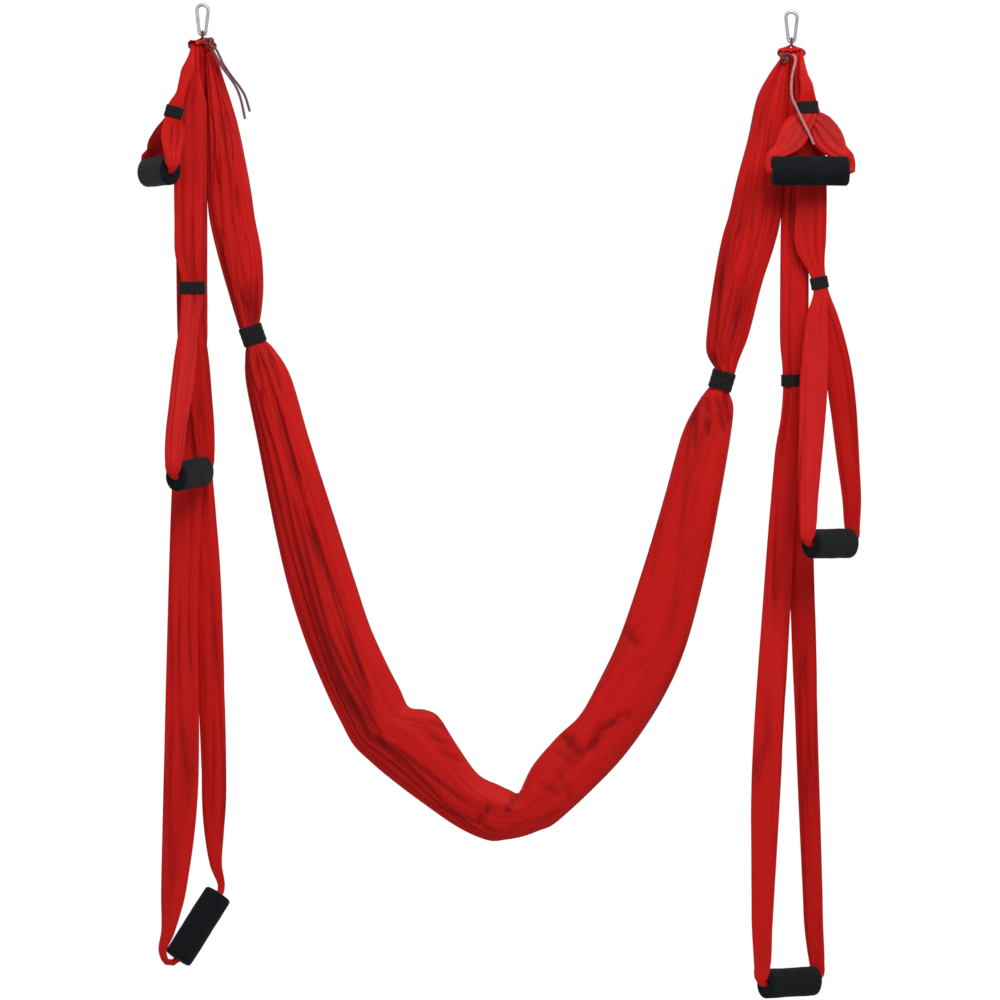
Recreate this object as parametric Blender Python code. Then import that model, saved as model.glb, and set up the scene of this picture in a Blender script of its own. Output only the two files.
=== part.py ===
"""Aerial hammock: a gathered nylon hammock and six handle straps on two snap hooks.

Metres, +Z up. The origin is the left hang point, the inner top of the left snap hook's eye.
+X runs to the right hang point, and +Y away from whoever faces the hammock.
"""
import math

import bmesh
import bpy
from mathutils import Matrix, Vector

# Where it hangs
HANG_SPAN = 0.8835          # between the two hang points
HANG_STEP = 0.0105          # the right hang point lies this much lower
SEAT_DROP = 1.2513          # from the left hang point down to the lowest edge of the seat
SEAT_SET_BACK = 0.0         # the seat hangs this far behind the hooks

# Clearances
TOUCH_GAP = 0.0003          # between pieces that touch
CLOTH_GAP = 0.0008          # between layers of cloth that lie on each other
PIN_CLEARANCE = 0.0001      # around a pin in its hole
OVERRUN = 0.002             # a cutter runs this far past what it cuts

# Snap hook, bent from round rod
ROD_DIAMETER = 0.005
EYE_TOP_RADIUS = 0.006
EYE_LOWER_RADIUS = 0.0025
HOOK_LENGTH = 0.050
NOSE_DROP = 0.0088          # from the hang point down to the shoulder of the nose
HINGE_RISE = 0.016          # from the lower end of the hook up to the gate's pin
TANG_LENGTH = 0.0042        # flat tongue of the nose
TANG_WIDTH = 0.0042
TANG_THICKNESS = 0.0018
GATE_PIN_DIAMETER = 0.0016
LATCH_PIN_DIAMETER = 0.0014
LATCH_PIN_LENGTH = 0.0042
GATE_PIN_LENGTH = 0.0046
SPRING_DIAMETER = 0.0014
SPRING_BORE = 0.0018
SPRING_LENGTH = 0.0090

# Gather cord
CORD_DIAMETER = 0.004
CORD_BASE_DROP = 0.0198     # from the hook's lower rod down to the run through the sleeves
CORD_BASE_LENGTH = 0.035
CORD_SHOULDER = 0.005       # how far the ring stands past each end of that run
KNOT_SCALE = 0.0032         # size of the three-lobed knot

# Hem sleeve at each end of the hammock
SLEEVE_LENGTH = 0.0150
SLEEVE_WALL = 0.0055
SLEEVE_FOLD = 0.0007

# Hammock cloth
SEAT_DEPTH = 0.044          # front to back, where it is fullest
MAIN_BAND_HEIGHT = 0.028
MAIN_BAND_WIDTH = 0.036
MAIN_BAND_DEPTH = 0.026
MAIN_BAND_RIBS = 2

# Handle straps, each a loop of gathered cloth
LAYER_THICKNESS = 0.0055
SLOT_WIDTH = 0.0056
BAND_THICKNESS = 0.0016
BAND_HEIGHT = 0.018
BUNDLE_DIAMETER = 0.0104    # the cloth drawn together inside a grip
BEND_REACH = 0.0066         # the cloth turns this far outside the end of a grip
SETTLE_DROP = 0.026         # below the cord, where the layers have settled into their order

# Foam grips
GRIP_LENGTH = 0.117
GRIP_WIDTH = 0.045
GRIP_THICKNESS = 0.034
GRIP_EDGE = 0.004           # rounding of the ends

# Each strap: side, place along the cord (0 is next to the hammock), sizes in metres, and the
# grip's turn and tilt in degrees. Offsets run outwards from the hook, away from the hammock.
# near is the end of the grip that points forward.
STRAPS = {
    "left_short": dict(
        side="left", slot=2, near="inner", settle_depth=-0.0198,
        upper_inner=0.030, upper_outer=0.050, upper_shares="short",
        band_drop=0.0975, band_offset=0.042, band_depth=-0.0235, band_width=0.0276,
        leg_width=0.030, near_shares="short near", far_shares="short far",
        grip_drop=0.2482, grip_offset=0.0645, grip_depth=-0.026, turn=70.0, tilt=0.0),
    "left_mid": dict(
        side="left", slot=1, near="outer", settle_depth=-0.0063,
        upper_inner=-0.0062, upper_outer=0.0427, upper_shares="left trunk",
        band_drop=0.360, band_offset=0.0150, band_depth=-0.0075, band_width=0.0400,
        leg_width=0.034, near_shares="mid near", far_shares="mid far",
        grip_drop=0.7012, grip_offset=0.0165, grip_depth=-0.060, turn=70.0, tilt=4.0),
    "left_long": dict(
        side="left", slot=0, near="outer", settle_depth=0.0063,
        upper_inner=-0.0062, upper_outer=0.0400, upper_shares="left trunk",
        band_drop=0.498, band_offset=0.0165, band_depth=0.0165, band_width=0.0360,
        leg_width=0.046, near_shares="left long near", far_shares="left long far",
        grip_drop=1.3808, grip_offset=0.0075, grip_depth=0.027, turn=20.0, tilt=56.0),
    "right_short": dict(
        side="right", slot=2, near="inner", settle_depth=-0.0198,
        upper_inner=0.012, upper_outer=0.036, upper_shares="short",
        band_drop=0.0800, band_offset=0.0235, band_depth=-0.0235, band_width=0.0320,
        leg_width=0.040, near_shares="wide near", far_shares="wide far",
        grip_drop=0.2378, grip_offset=0.0262, grip_depth=-0.048, turn=10.0, tilt=0.0),
    "right_mid": dict(
        side="right", slot=1, near="inner", settle_depth=-0.0063,
        upper_inner=0.006, upper_outer=0.0525, upper_shares="right trunk",
        band_drop=0.342, band_offset=0.0416, band_depth=-0.0075, band_width=0.0270,
        leg_width=0.036, near_shares="right mid near", far_shares="right mid far",
        grip_drop=0.7950, grip_offset=0.0570, grip_depth=-0.027, turn=57.0, tilt=0.0),
    "right_long": dict(
        side="right", slot=0, near="inner", settle_depth=0.0063,
        upper_inner=-0.0165, upper_outer=0.0260, upper_shares="right trunk",
        band_drop=0.488, band_offset=0.0045, band_depth=0.0075, band_width=0.0400,
        leg_width=0.042, near_shares="right long near", far_shares="right long far",
        grip_drop=1.4542, grip_offset=-0.0020, grip_depth=0.020, turn=48.0, tilt=0.0),
}

# Upper stretch of a strap: share of the way from the cord to the band, and how far the inner
# and the outer edge have come from the strap's place on the cord to their widest
UPPER_SHARES = {
    "short": [(0.45, 0.32, 0.34), (0.72, 0.72, 0.66)],
    "left trunk": [(0.12, 0.22, 0.18), (0.17, 0.25, 0.30), (0.28, 0.36, 0.60),
                   (0.47, 0.82, 0.92), (0.71, 1.0, 1.0), (0.88, 1.0, 0.94)],
    "right trunk": [(0.12, 0.22, 0.22), (0.20, 0.36, 0.42), (0.33, 0.60, 0.75),
                    (0.50, 0.88, 0.98), (0.72, 1.0, 1.0), (0.88, 1.0, 0.96)],
}

# Leg of a strap: shares of the way down from the band, of the way out to the grip's end, of
# the way forward or back to it, and of the leg's full width
LEG_SHARES = {
    "short near": [(0.20, 0.10, 0.12, 0.80), (0.50, 0.45, 0.42, 1.0), (0.80, 0.85, 0.78, 0.80)],
    "short far": [(0.20, 0.36, 0.06, 0.80), (0.50, 0.66, 0.34, 1.0), (0.80, 0.90, 0.76, 0.80)],
    "wide near": [(0.17, 0.10, 0.14, 0.70), (0.45, 0.50, 0.42, 1.0), (0.78, 0.88, 0.80, 0.80)],
    "wide far": [(0.17, 0.12, 0.14, 0.70), (0.45, 0.54, 0.42, 1.0), (0.78, 0.90, 0.80, 0.80)],
    "mid near": [(0.10, 0.10, 0.04, 0.80), (0.45, 0.42, 0.36, 1.0), (0.85, 0.90, 0.82, 0.90)],
    "mid far": [(0.10, 0.05, 0.00, 0.80), (0.45, 0.42, 0.20, 1.0), (0.85, 0.88, 0.76, 0.90)],
    "right mid near": [(0.08, 0.12, 0.03, 0.80), (0.40, 0.48, 0.30, 1.2), (0.88, 0.98, 0.84, 0.85)],
    "right mid far": [(0.08, 0.14, 0.00, 0.80), (0.40, 0.62, 0.30, 1.15), (0.88, 0.98, 0.84, 0.80)],
    "left long near": [(0.06, 0.08, 0.00, 0.75), (0.18, 0.16, 0.00, 1.0), (0.38, 0.30, 0.05, 1.0),
                       (0.70, 0.38, 0.40, 1.15), (0.88, 0.62, 0.78, 0.85), (0.96, 0.93, 0.93, 0.45)],
    "left long far": [(0.06, 0.08, 0.00, 0.75), (0.20, 0.26, 0.00, 0.90), (0.42, 0.55, 0.25, 0.90),
                      (0.77, 0.76, 0.70, 0.84), (0.92, 0.88, 0.90, 0.55)],
    "right long near": [(0.05, 0.06, 0.00, 0.75), (0.13, 0.22, 0.00, 0.90), (0.36, 0.52, 0.16, 1.0),
                        (0.67, 0.86, 0.55, 1.07), (0.93, 1.0, 0.88, 0.75)],
    "right long far": [(0.05, 0.08, 0.00, 0.75), (0.13, 0.18, 0.00, 0.85), (0.36, 0.34, 0.16, 0.90),
                       (0.67, 0.60, 0.55, 0.80), (0.93, 0.85, 0.88, 0.70)],
}

# The hammock's edges, as pixels of the photograph: outer edge, inner edge, and the share of
# the seat's depth. The pixels are laid on the span and the drop by photo_place.
LEFT_HANG_PIXEL = (202.5, 6.5)
RIGHT_HANG_PIXEL = (791.5, 13.5)
SEAT_LOW_PIXEL = 840.7
LEFT_TOP_PIXELS = [
    (203.6, 62, 218.5, 62, 0.40), (203.8, 80, 223.5, 78, 0.48), (204.6, 119, 236.5, 119, 0.54),
    (207.2, 160, 245.5, 160, 0.54), (209.5, 219.5, 255, 218, 0.54), (219, 256, 261.6, 253, 0.54),
    (228, 292, 263.5, 286, 0.52), (236, 319, 261.5, 312, 0.48)]
LEFT_BAND_PIXELS = (242.6, 338.5, 262.8, 331.5, 0.44)
SEAT_PIXELS = [
    (245, 358, 275, 350, 0.54), (246, 384, 291, 377, 0.66), (258, 444, 309, 438, 0.76),
    (274.3, 527, 335, 519, 0.84), (289, 590, 356, 584, 0.90), (306, 643, 373, 626, 0.94),
    (326, 692, 393, 664, 0.98), (354, 747, 414, 703, 1.0), (388, 777, 437, 719, 1.0),
    (424, 804, 457, 745, 1.0), (459, 828, 477, 774, 1.0), (488, 840.7, 500, 788, 1.0),
    (522, 837, 519, 790, 1.0), (556, 823, 534, 764, 1.0), (592, 790, 558, 736, 1.0),
    (628, 751, 580, 715, 1.0), (662, 700, 599, 681, 0.98), (686, 646, 620, 636, 0.92),
    (706, 570, 644, 565, 0.84), (719, 504, 664, 498, 0.78), (730, 440, 682, 434, 0.68),
    (733.5, 408, 698, 402, 0.56)]
RIGHT_BAND_PIXELS = (732, 383.5, 712, 377.5, 0.44)
RIGHT_TOP_PIXELS = [
    (739, 360, 706.5, 352, 0.50), (749, 334, 707.5, 326, 0.54), (762, 284, 714.5, 277, 0.54),
    (774, 247, 721.5, 240, 0.54), (780.2, 218, 729, 214, 0.54), (781.4, 181, 737, 179, 0.54),
    (783.4, 140, 747.5, 140, 0.54), (785.2, 100, 756.5, 99, 0.52), (786.8, 74, 768, 76, 0.46)]
MOUTH_DEPTH_SHARE = 0.30    # depth of the cloth right under its sleeve

CLOTH_SIDES = 20
TOP_STATIONS = 13
SEAT_STATIONS = 26
CLOTH_FOLDS = 5
CLOTH_FOLD_SHARE = 0.16     # depth of the folds, of the cloth's half width
STRAP_SIDES = 8
CREASE_SHARE = 0.28         # depth of the crease down the middle of a strap
STATION_SPACING = 0.048     # along the long straps
CLOTH_SQUARENESS = 2.6      # 2 is an ellipse, more is squarer
BAND_SQUARENESS = 5.0

X_AXIS = Vector((1.0, 0.0, 0.0))
Y_AXIS = Vector((0.0, 1.0, 0.0))
Z_AXIS = Vector((0.0, 0.0, 1.0))

ROD_RADIUS = ROD_DIAMETER / 2
CORD_RADIUS = CORD_DIAMETER / 2
TOP_BEND = EYE_TOP_RADIUS + ROD_RADIUS
LOWER_BEND = EYE_LOWER_RADIUS + ROD_RADIUS
LOWER_ROD_DROP = HOOK_LENGTH - ROD_DIAMETER - ROD_RADIUS
BASE_DROP = LOWER_ROD_DROP + CORD_BASE_DROP
BIGHT_RADIUS = CORD_RADIUS + TOUCH_GAP + LAYER_THICKNESS / 2
LAYER_OFFSET = (LAYER_THICKNESS + CLOTH_GAP) / 2
SLEEVE_OUTER = CORD_RADIUS + TOUCH_GAP + SLEEVE_WALL
OUTWARD = {"left": -1.0, "right": 1.0}
HANG = {"left": Vector((0.0, 0.0, 0.0)), "right": Vector((HANG_SPAN, 0.0, -HANG_STEP))}

# Material: colour, roughness, metallic
CLOTH_LOOK = ("red nylon", (0.46, 0.012, 0.014), 0.48, 0.0)
FOAM_LOOK = ("black foam", (0.006, 0.007, 0.009), 0.85, 0.0)
BAND_LOOK = ("black webbing", (0.010, 0.009, 0.011), 0.75, 0.0)
STEEL_LOOK = ("zinc plated steel", (0.62, 0.63, 0.65), 0.28, 1.0)
LEFT_CORD_LOOK = ("mottled cord", (0.16, 0.035, 0.05), 0.8, 0.0)
RIGHT_CORD_LOOK = ("pink cord", (0.50, 0.16, 0.15), 0.8, 0.0)


def place(side, offset, depth, drop):
    """A point by its offset outwards, its depth and its drop below the side's hang point."""
    hang = HANG[side]
    return Vector((hang.x + OUTWARD[side] * offset, depth, hang.z - drop))


def photo_place(x, y):
    """Lays a pixel on the span and the drop: each side stays with its own hook."""
    metres = SEAT_DROP / (SEAT_LOW_PIXEL - LEFT_HANG_PIXEL[1])
    across = x - LEFT_HANG_PIXEL[0]
    pixel_span = RIGHT_HANG_PIXEL[0] - LEFT_HANG_PIXEL[0]
    pixel_step = RIGHT_HANG_PIXEL[1] - LEFT_HANG_PIXEL[1]
    share = ease(across / pixel_span)
    wider = HANG_SPAN - pixel_span * metres
    lower = HANG_STEP - pixel_step * metres
    drop = (y - LEFT_HANG_PIXEL[1]) * metres
    return Vector((across * metres + wider * share, 0.0, -drop - lower * share))


def ease(share):
    share = min(max(share, 0.0), 1.0)
    return share * share * (3 - 2 * share)


def mix(start, end, share):
    return start + (end - start) * share


def spline(rows, count):
    """Reads count evenly spaced rows from a smooth curve through the given rows, each a list
    of a place and plain numbers."""
    def at(position):
        index = min(int(position), len(rows) - 2)
        t = position - index
        before, start = rows[max(index - 1, 0)], rows[index]
        end, after = rows[index + 1], rows[min(index + 2, len(rows) - 1)]
        return [
            (2 * b + (c - a) * t + (2 * a - 5 * b + 4 * c - d) * t ** 2
             + (3 * b - a - 3 * c + d) * t ** 3) * 0.5
            for a, b, c, d in zip(before, start, end, after)
        ]

    fine = [at(i / 12) for i in range(12 * (len(rows) - 1) + 1)]
    travelled = [0.0]
    for a, b in zip(fine, fine[1:]):
        travelled.append(travelled[-1] + (b[0] - a[0]).length)
    picked, index = [], 0
    for i in range(count):
        goal = travelled[-1] * i / (count - 1)
        while index < len(fine) - 2 and travelled[index + 1] < goal:
            index += 1
        step = travelled[index + 1] - travelled[index]
        share = (goal - travelled[index]) / step
        picked.append([mix(a, b, min(share, 1.0)) for a, b in zip(fine[index], fine[index + 1])])
    return picked


def oval(count, half_width, half_depth, squareness):
    """Points around a rounded rectangle, as pairs across and through."""
    power = 2 / squareness
    points = []
    for i in range(count):
        angle = 2 * math.pi * i / count
        c, s = math.cos(angle), math.sin(angle)
        points.append((half_width * math.copysign(abs(c) ** power, c),
                       half_depth * math.copysign(abs(s) ** power, s)))
    return points


def ring_at(centre, across, through, outline):
    return [centre + across * a + through * b for a, b in outline]


def upright_frame(tangent, across_hint):
    """Axes of a section: across follows the hint, and through is square to both."""
    hint = across_hint if abs(tangent.dot(across_hint)) < 0.9 else Z_AXIS
    across = (hint - tangent * hint.dot(tangent)).normalized()
    return across, tangent.cross(across).normalized()


def tangents(points, closed=False):
    found = []
    for i in range(len(points)):
        if closed:
            before, after = points[i - 1], points[(i + 1) % len(points)]
        else:
            before, after = points[max(i - 1, 0)], points[min(i + 1, len(points) - 1)]
        found.append((after - before).normalized())
    return found


def best_turn(previous, ring):
    """Starts a ring at the point, and in the direction, that lie nearest the ring before."""
    count = len(ring)
    choices = []
    for way in (ring, ring[::-1]):
        for shift in range(count):
            turned = way[shift:] + way[:shift]
            choices.append((sum((a - b).length_squared for a, b in zip(previous, turned)), turned))
    return min(choices, key=lambda choice: choice[0])[1]


def extend(bm, loop, ring):
    """Extrudes a loop of vertices to the next ring of places."""
    edges = [bm.edges.get((a, b)) for a, b in zip(loop, loop[1:] + loop[:1])]
    made = bmesh.ops.extrude_edge_only(bm, edges=edges)["geom"]
    made = {item for item in made if isinstance(item, bmesh.types.BMVert)}
    following = []
    for vert, spot in zip(loop, ring):
        twin = next(edge.other_vert(vert) for edge in vert.link_edges if edge.other_vert(vert) in made)
        following.append(twin)
    for twin, spot in zip(following, ring):
        twin.co = spot
    return following


def loft(rings, closed=False):
    """A closed body through a row of rings, either capped or run back into its first ring."""
    bm = bmesh.new()
    loop = bmesh.ops.create_circle(bm, segments=len(rings[0]), radius=1.0)["verts"]
    first = list(loop)
    for vert, spot in zip(loop, rings[0]):
        vert.co = spot
    previous = rings[0]
    for ring in rings[1:] + (rings[:1] if closed else []):
        previous = best_turn(previous, ring)
        loop = extend(bm, loop, previous)
    if closed:
        bmesh.ops.remove_doubles(bm, verts=bm.verts[:], dist=TOUCH_GAP / 100)
    else:
        for ends in (first, loop):
            bmesh.ops.contextual_create(bm, geom=ends)
    bmesh.ops.recalc_face_normals(bm, faces=bm.faces[:])
    return bm


def look(settings):
    name, colour, roughness, metallic = settings
    material = bpy.data.materials.get(name) or bpy.data.materials.new(name)
    material.use_nodes = True
    shader = material.node_tree.nodes["Principled BSDF"]
    shader.inputs["Base Color"].default_value = (*colour, 1.0)
    shader.inputs["Roughness"].default_value = roughness
    shader.inputs["Metallic"].default_value = metallic
    return material


def add_object(name, bm, settings, origin=None, smooth_angle=40.0):
    """Makes an object of the mesh, with its origin moved to the joint it turns about."""
    origin = origin or Vector((0.0, 0.0, 0.0))
    bmesh.ops.translate(bm, verts=bm.verts[:], vec=-origin)
    mesh = bpy.data.meshes.new(name)
    bm.to_mesh(mesh)
    bm.free()
    mesh.materials.append(look(settings))
    mesh.shade_smooth()
    mesh.set_sharp_from_angle(angle=math.radians(smooth_angle))
    made = bpy.data.objects.new(name, mesh)
    made.location = origin
    bpy.context.scene.collection.objects.link(made)
    return made


def cylinder(start, end, radius, sides=12):
    bm = bmesh.new()
    axis = end - start
    turn = Z_AXIS.rotation_difference(axis.normalized()).to_matrix().to_4x4()
    bmesh.ops.create_cone(
        bm, cap_ends=True, segments=sides, radius1=radius, radius2=radius, depth=axis.length,
        matrix=Matrix.Translation((start + end) / 2) @ turn)
    return bm


def block(centre, axes, size):
    """A box on three given axes."""
    bm = bmesh.new()
    turn = Matrix((axes[0], axes[1], axes[2])).transposed().to_4x4()
    scale = Matrix.Diagonal((*size, 1.0))
    bmesh.ops.create_cube(bm, size=1.0, matrix=Matrix.Translation(centre) @ turn @ scale)
    bmesh.ops.recalc_face_normals(bm, faces=bm.faces[:])
    return bm


def cut(target, name, bm):
    """Takes the shape away from the target, and keeps it as a hidden cutter."""
    cutter = add_object(name, bm, STEEL_LOOK)
    cutter.hide_render = True
    cutter.display_type = "WIRE"
    modifier = target.modifiers.new(name, "BOOLEAN")
    modifier.object = cutter
    modifier.operation = "DIFFERENCE"
    modifier.solver = "EXACT"


def hook_line(side):
    """The straight side of the hook that the gate closes: a function from drop to place, and
    the direction up along it."""
    lower_centre = LOWER_ROD_DROP - LOWER_BEND
    lean = math.asin((TOP_BEND - LOWER_BEND) / (lower_centre - EYE_TOP_RADIUS))
    start = Vector((TOP_BEND * math.cos(lean), 0.0, -EYE_TOP_RADIUS - TOP_BEND * math.sin(lean)))
    up = Vector((math.sin(lean), 0.0, math.cos(lean)))

    def at(drop):
        return HANG[side] + start + up * ((-drop - start.z) / up.z)

    return at, up, lean, lower_centre


def hook_body(side):
    """Rod bent from the nose over the top, down the back, round the lower end and up to the
    gate's pin, with a flat tongue at either end."""
    at, up, lean, lower_centre = hook_line(side)
    hinge_drop = HOOK_LENGTH - ROD_DIAMETER - HINGE_RISE
    tang_end = TANG_WIDTH / 2
    hinge_shoulder = hinge_drop + tang_end + ROD_RADIUS - TOUCH_GAP
    top = HANG[side] - Z_AXIS * EYE_TOP_RADIUS
    low = HANG[side] - Z_AXIS * lower_centre
    flat = (TANG_WIDTH / 2, TANG_THICKNESS / 2)
    full = (ROD_RADIUS, ROD_RADIUS)

    path = [(at(NOSE_DROP + TANG_LENGTH), flat), (at(NOSE_DROP), flat), (at(NOSE_DROP), full)]
    bend_steps = 12
    for i in range(bend_steps + 1):
        angle = mix(-lean, math.pi + lean, i / bend_steps)
        path.append((top + Vector((math.cos(angle), 0.0, math.sin(angle))) * TOP_BEND, full))
    for i in range(bend_steps + 1):
        angle = mix(math.pi + lean, 2 * math.pi - lean, i / bend_steps)
        path.append((low + Vector((math.cos(angle), 0.0, math.sin(angle))) * LOWER_BEND, full))
    path += [(at(hinge_shoulder), full), (at(hinge_shoulder), flat), (at(hinge_drop), flat),
             (at(hinge_drop - tang_end * 0.7), (flat[0] * 0.72, flat[1])),
             (at(hinge_drop - tang_end), (flat[0] * 0.3, flat[1]))]
    rings = []
    directions = [up] * 3 + [None] * (len(path) - 8) + [up] * 5
    places = [spot for spot, size in path]
    found = tangents(places)
    for i, (spot, size) in enumerate(path):
        direction = directions[i] or found[i]
        across = Y_AXIS.cross(direction).normalized()
        squareness = 2.0 if size == full else 6.0
        rings.append(ring_at(spot, across, Y_AXIS, oval(12, size[0], size[1], squareness)))
    body = add_object(f"{side}_hook_body", loft(rings), STEEL_LOOK)

    pin_hole = GATE_PIN_DIAMETER / 2 + PIN_CLEARANCE
    hinge = at(hinge_drop)
    half = Y_AXIS * (ROD_RADIUS + OVERRUN)
    cut(body, f"{side}_hinge_hole", cylinder(hinge - half, hinge + half, pin_hole))
    latch = at(NOSE_DROP + TANG_LENGTH * 0.52)
    inward = -Y_AXIS.cross(up).normalized()
    notch_height = LATCH_PIN_DIAMETER + 4 * PIN_CLEARANCE
    notch_length = TANG_WIDTH / 2 + LATCH_PIN_DIAMETER / 2 + 2 * PIN_CLEARANCE + OVERRUN
    notch_middle = latch + inward * (notch_length / 2 - LATCH_PIN_DIAMETER / 2 - 2 * PIN_CLEARANCE)
    cut(body, f"{side}_nose_notch", block(
        notch_middle, (inward, Y_AXIS, up), (notch_length, ROD_DIAMETER, notch_height)))
    return hinge, latch, up


def gate(side, hinge, latch, up):
    """Rod between the nose and the pin, slotted over both tongues, with its spring inside."""
    at = hook_line(side)[0]
    tang_end = TANG_WIDTH / 2
    lower = hinge - up * tang_end
    upper = at(NOSE_DROP + TOUCH_GAP)
    body = add_object(f"{side}_gate", cylinder(lower, upper, ROD_RADIUS, sides=16), STEEL_LOOK, hinge)
    slot_width = TANG_THICKNESS + 2 * TOUCH_GAP
    across = Y_AXIS.cross(up).normalized()

    lower_slot_end = hinge + up * (tang_end + TOUCH_GAP)
    lower_slot_start = lower - up * OVERRUN
    cut(body, f"{side}_hinge_slot", block(
        (lower_slot_start + lower_slot_end) / 2, (across, Y_AXIS, up),
        (ROD_DIAMETER + OVERRUN, slot_width, (lower_slot_end - lower_slot_start).length)))
    upper_slot_start = at(NOSE_DROP + TANG_LENGTH + TOUCH_GAP)
    upper_slot_end = upper + up * OVERRUN
    cut(body, f"{side}_nose_slot", block(
        (upper_slot_start + upper_slot_end) / 2, (across, Y_AXIS, up),
        (ROD_DIAMETER + OVERRUN, slot_width, (upper_slot_end - upper_slot_start).length)))
    spring_end = lower_slot_end + up * (SPRING_LENGTH + TOUCH_GAP)
    cut(body, f"{side}_spring_bore", cylinder(lower_slot_end - up * TOUCH_GAP, spring_end, SPRING_BORE / 2))
    half = Y_AXIS * (ROD_RADIUS + OVERRUN)
    cut(body, f"{side}_pin_hole", cylinder(
        hinge - half, hinge + half, GATE_PIN_DIAMETER / 2 + PIN_CLEARANCE))
    cut(body, f"{side}_latch_hole", cylinder(
        latch - half, latch + half, LATCH_PIN_DIAMETER / 2 + PIN_CLEARANCE))

    half = Y_AXIS * (GATE_PIN_LENGTH / 2)
    add_object(f"{side}_gate_pin", cylinder(hinge - half, hinge + half, GATE_PIN_DIAMETER / 2), STEEL_LOOK)
    half = Y_AXIS * (LATCH_PIN_LENGTH / 2)
    add_object(f"{side}_latch_pin", cylinder(latch - half, latch + half, LATCH_PIN_DIAMETER / 2),
               STEEL_LOOK, hinge)
    add_object(f"{side}_gate_spring", cylinder(
        lower_slot_end, lower_slot_end + up * SPRING_LENGTH, SPRING_DIAMETER / 2), STEEL_LOOK, hinge)


def cord_ring_path(side):
    """The gather cord: over the hook's lower rod, down and out to both sides, and back along
    the straight run that the sleeves hang on. The front leg goes to the hammock's side."""
    rise = ROD_RADIUS + TOUCH_GAP + CORD_RADIUS
    base = CORD_BASE_DROP
    end = CORD_BASE_LENGTH / 2
    rows = []
    for degrees in (0, 45, 90):
        angle = math.radians(degrees)
        rows.append((0.0, -rise * math.sin(angle), rise * math.cos(angle)))
    leg = [(0.04, 0.98, -0.18), (0.45, 0.88, -0.34), (0.92, 0.50, -0.42)]
    rows += [(-end * o, -rise * y, base * z) for o, y, z in leg]
    corner = [(1.0, 0.15, -0.68), (0.9, 0.0, -0.92)]
    rows += [(-end - CORD_SHOULDER * o, -rise * y, base * z) for o, y, z in corner]
    rows += [(-end, 0.0, -base), (-end * 0.5, 0.0, -base)]
    half = [row for row in rows]
    other = [(-o, -y, z) for o, y, z in reversed(half[1:])]
    middle = [(0.0, 0.0, -base)]
    return [place(side, o, y, LOWER_ROD_DROP - z) for o, y, z in half + middle + other]


def cord_ring(side, settings):
    path = cord_ring_path(side)
    rows = [[point] for point in path[-2:] + path + path[:3]]
    fine = spline(rows, 12 * len(rows))
    start = min(range(12 * 4), key=lambda i: (fine[i][0] - path[0]).length)
    places = [row[0] for row in fine[start:]]
    end = min(range(len(places) // 2, len(places)), key=lambda i: (places[i] - places[0]).length)
    places = places[:end]
    stations = 44
    loop = [places[int(len(places) * i / stations)] for i in range(stations)]
    rings = []
    previous = X_AXIS
    for spot, tangent in zip(loop, tangents(loop, closed=True)):
        across = (previous - tangent * previous.dot(tangent)).normalized()
        previous = across
        rings.append(ring_at(spot, across, tangent.cross(across), oval(8, CORD_RADIUS, CORD_RADIUS, 2.0)))
    add_object(f"{side}_cord_ring", loft(rings, closed=True), settings)


def knot(side, offset, drop, depth, settings):
    """The cord's ends tied in a three-lobed knot, one closed run of cord."""
    centre = place(side, offset, depth, LOWER_ROD_DROP + drop)
    stations = 36
    loop = []
    for i in range(stations):
        t = 2 * math.pi * i / stations
        shape = Vector((math.sin(t) + 2 * math.sin(2 * t), 1.4 * math.sin(3 * t),
                        math.cos(t) - 2 * math.cos(2 * t)))
        loop.append(centre + shape * KNOT_SCALE)
    rings = []
    previous = Y_AXIS
    for spot, tangent in zip(loop, tangents(loop, closed=True)):
        across = (previous - tangent * previous.dot(tangent)).normalized()
        previous = across
        rings.append(ring_at(spot, across, tangent.cross(across), oval(6, CORD_RADIUS, CORD_RADIUS, 2.0)))
    apart = stations // 6
    gap = min((loop[i] - loop[j]).length for i in range(stations) for j in range(stations)
              if apart <= (i - j) % stations <= stations - apart)
    print(f"{side} knot: least gap to itself {1000 * (gap - CORD_DIAMETER):.2f} mm")
    add_object(f"{side}_cord_knot", loft(rings, closed=True), settings)


# Routes of the loose cord ends: places by hand, in metres
LEFT_TAIL_LONG = [(0.0134, -0.0173, -0.0638), (0.0160, -0.0183, -0.0672), (0.0203, -0.0193, -0.0745),
                  (0.0250, -0.0195, -0.0830), (0.0300, -0.0190, -0.0930), (0.0400, -0.0185, -0.1080),
                  (0.0500, -0.0180, -0.1230), (0.0570, -0.0170, -0.1400), (0.0640, -0.0160, -0.1680)]
LEFT_TAIL_SHORT = [(0.0146, -0.0198, -0.0606), (0.0176, -0.0213, -0.0622), (0.0222, -0.0220, -0.0672),
                   (0.0272, -0.0205, -0.0762), (0.0320, -0.0180, -0.0855), (0.0450, -0.0140, -0.1030),
                   (0.0550, -0.0130, -0.1170), (0.0640, -0.0120, -0.1340), (0.0710, -0.0110, -0.1570)]
RIGHT_TAIL = [(0.88465, -0.0128, -0.0732), (0.8875, -0.0142, -0.0746), (0.8889, -0.0182, -0.0795),
              (0.8876, -0.0240, -0.0875), (0.8845, -0.0290, -0.1000), (0.8822, -0.0340, -0.1180),
              (0.8830, -0.0375, -0.1370), (0.8900, -0.0405, -0.1540), (0.9000, -0.0450, -0.1760),
              (0.9085, -0.0490, -0.1930), (0.9150, -0.0510, -0.2080)]


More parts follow.
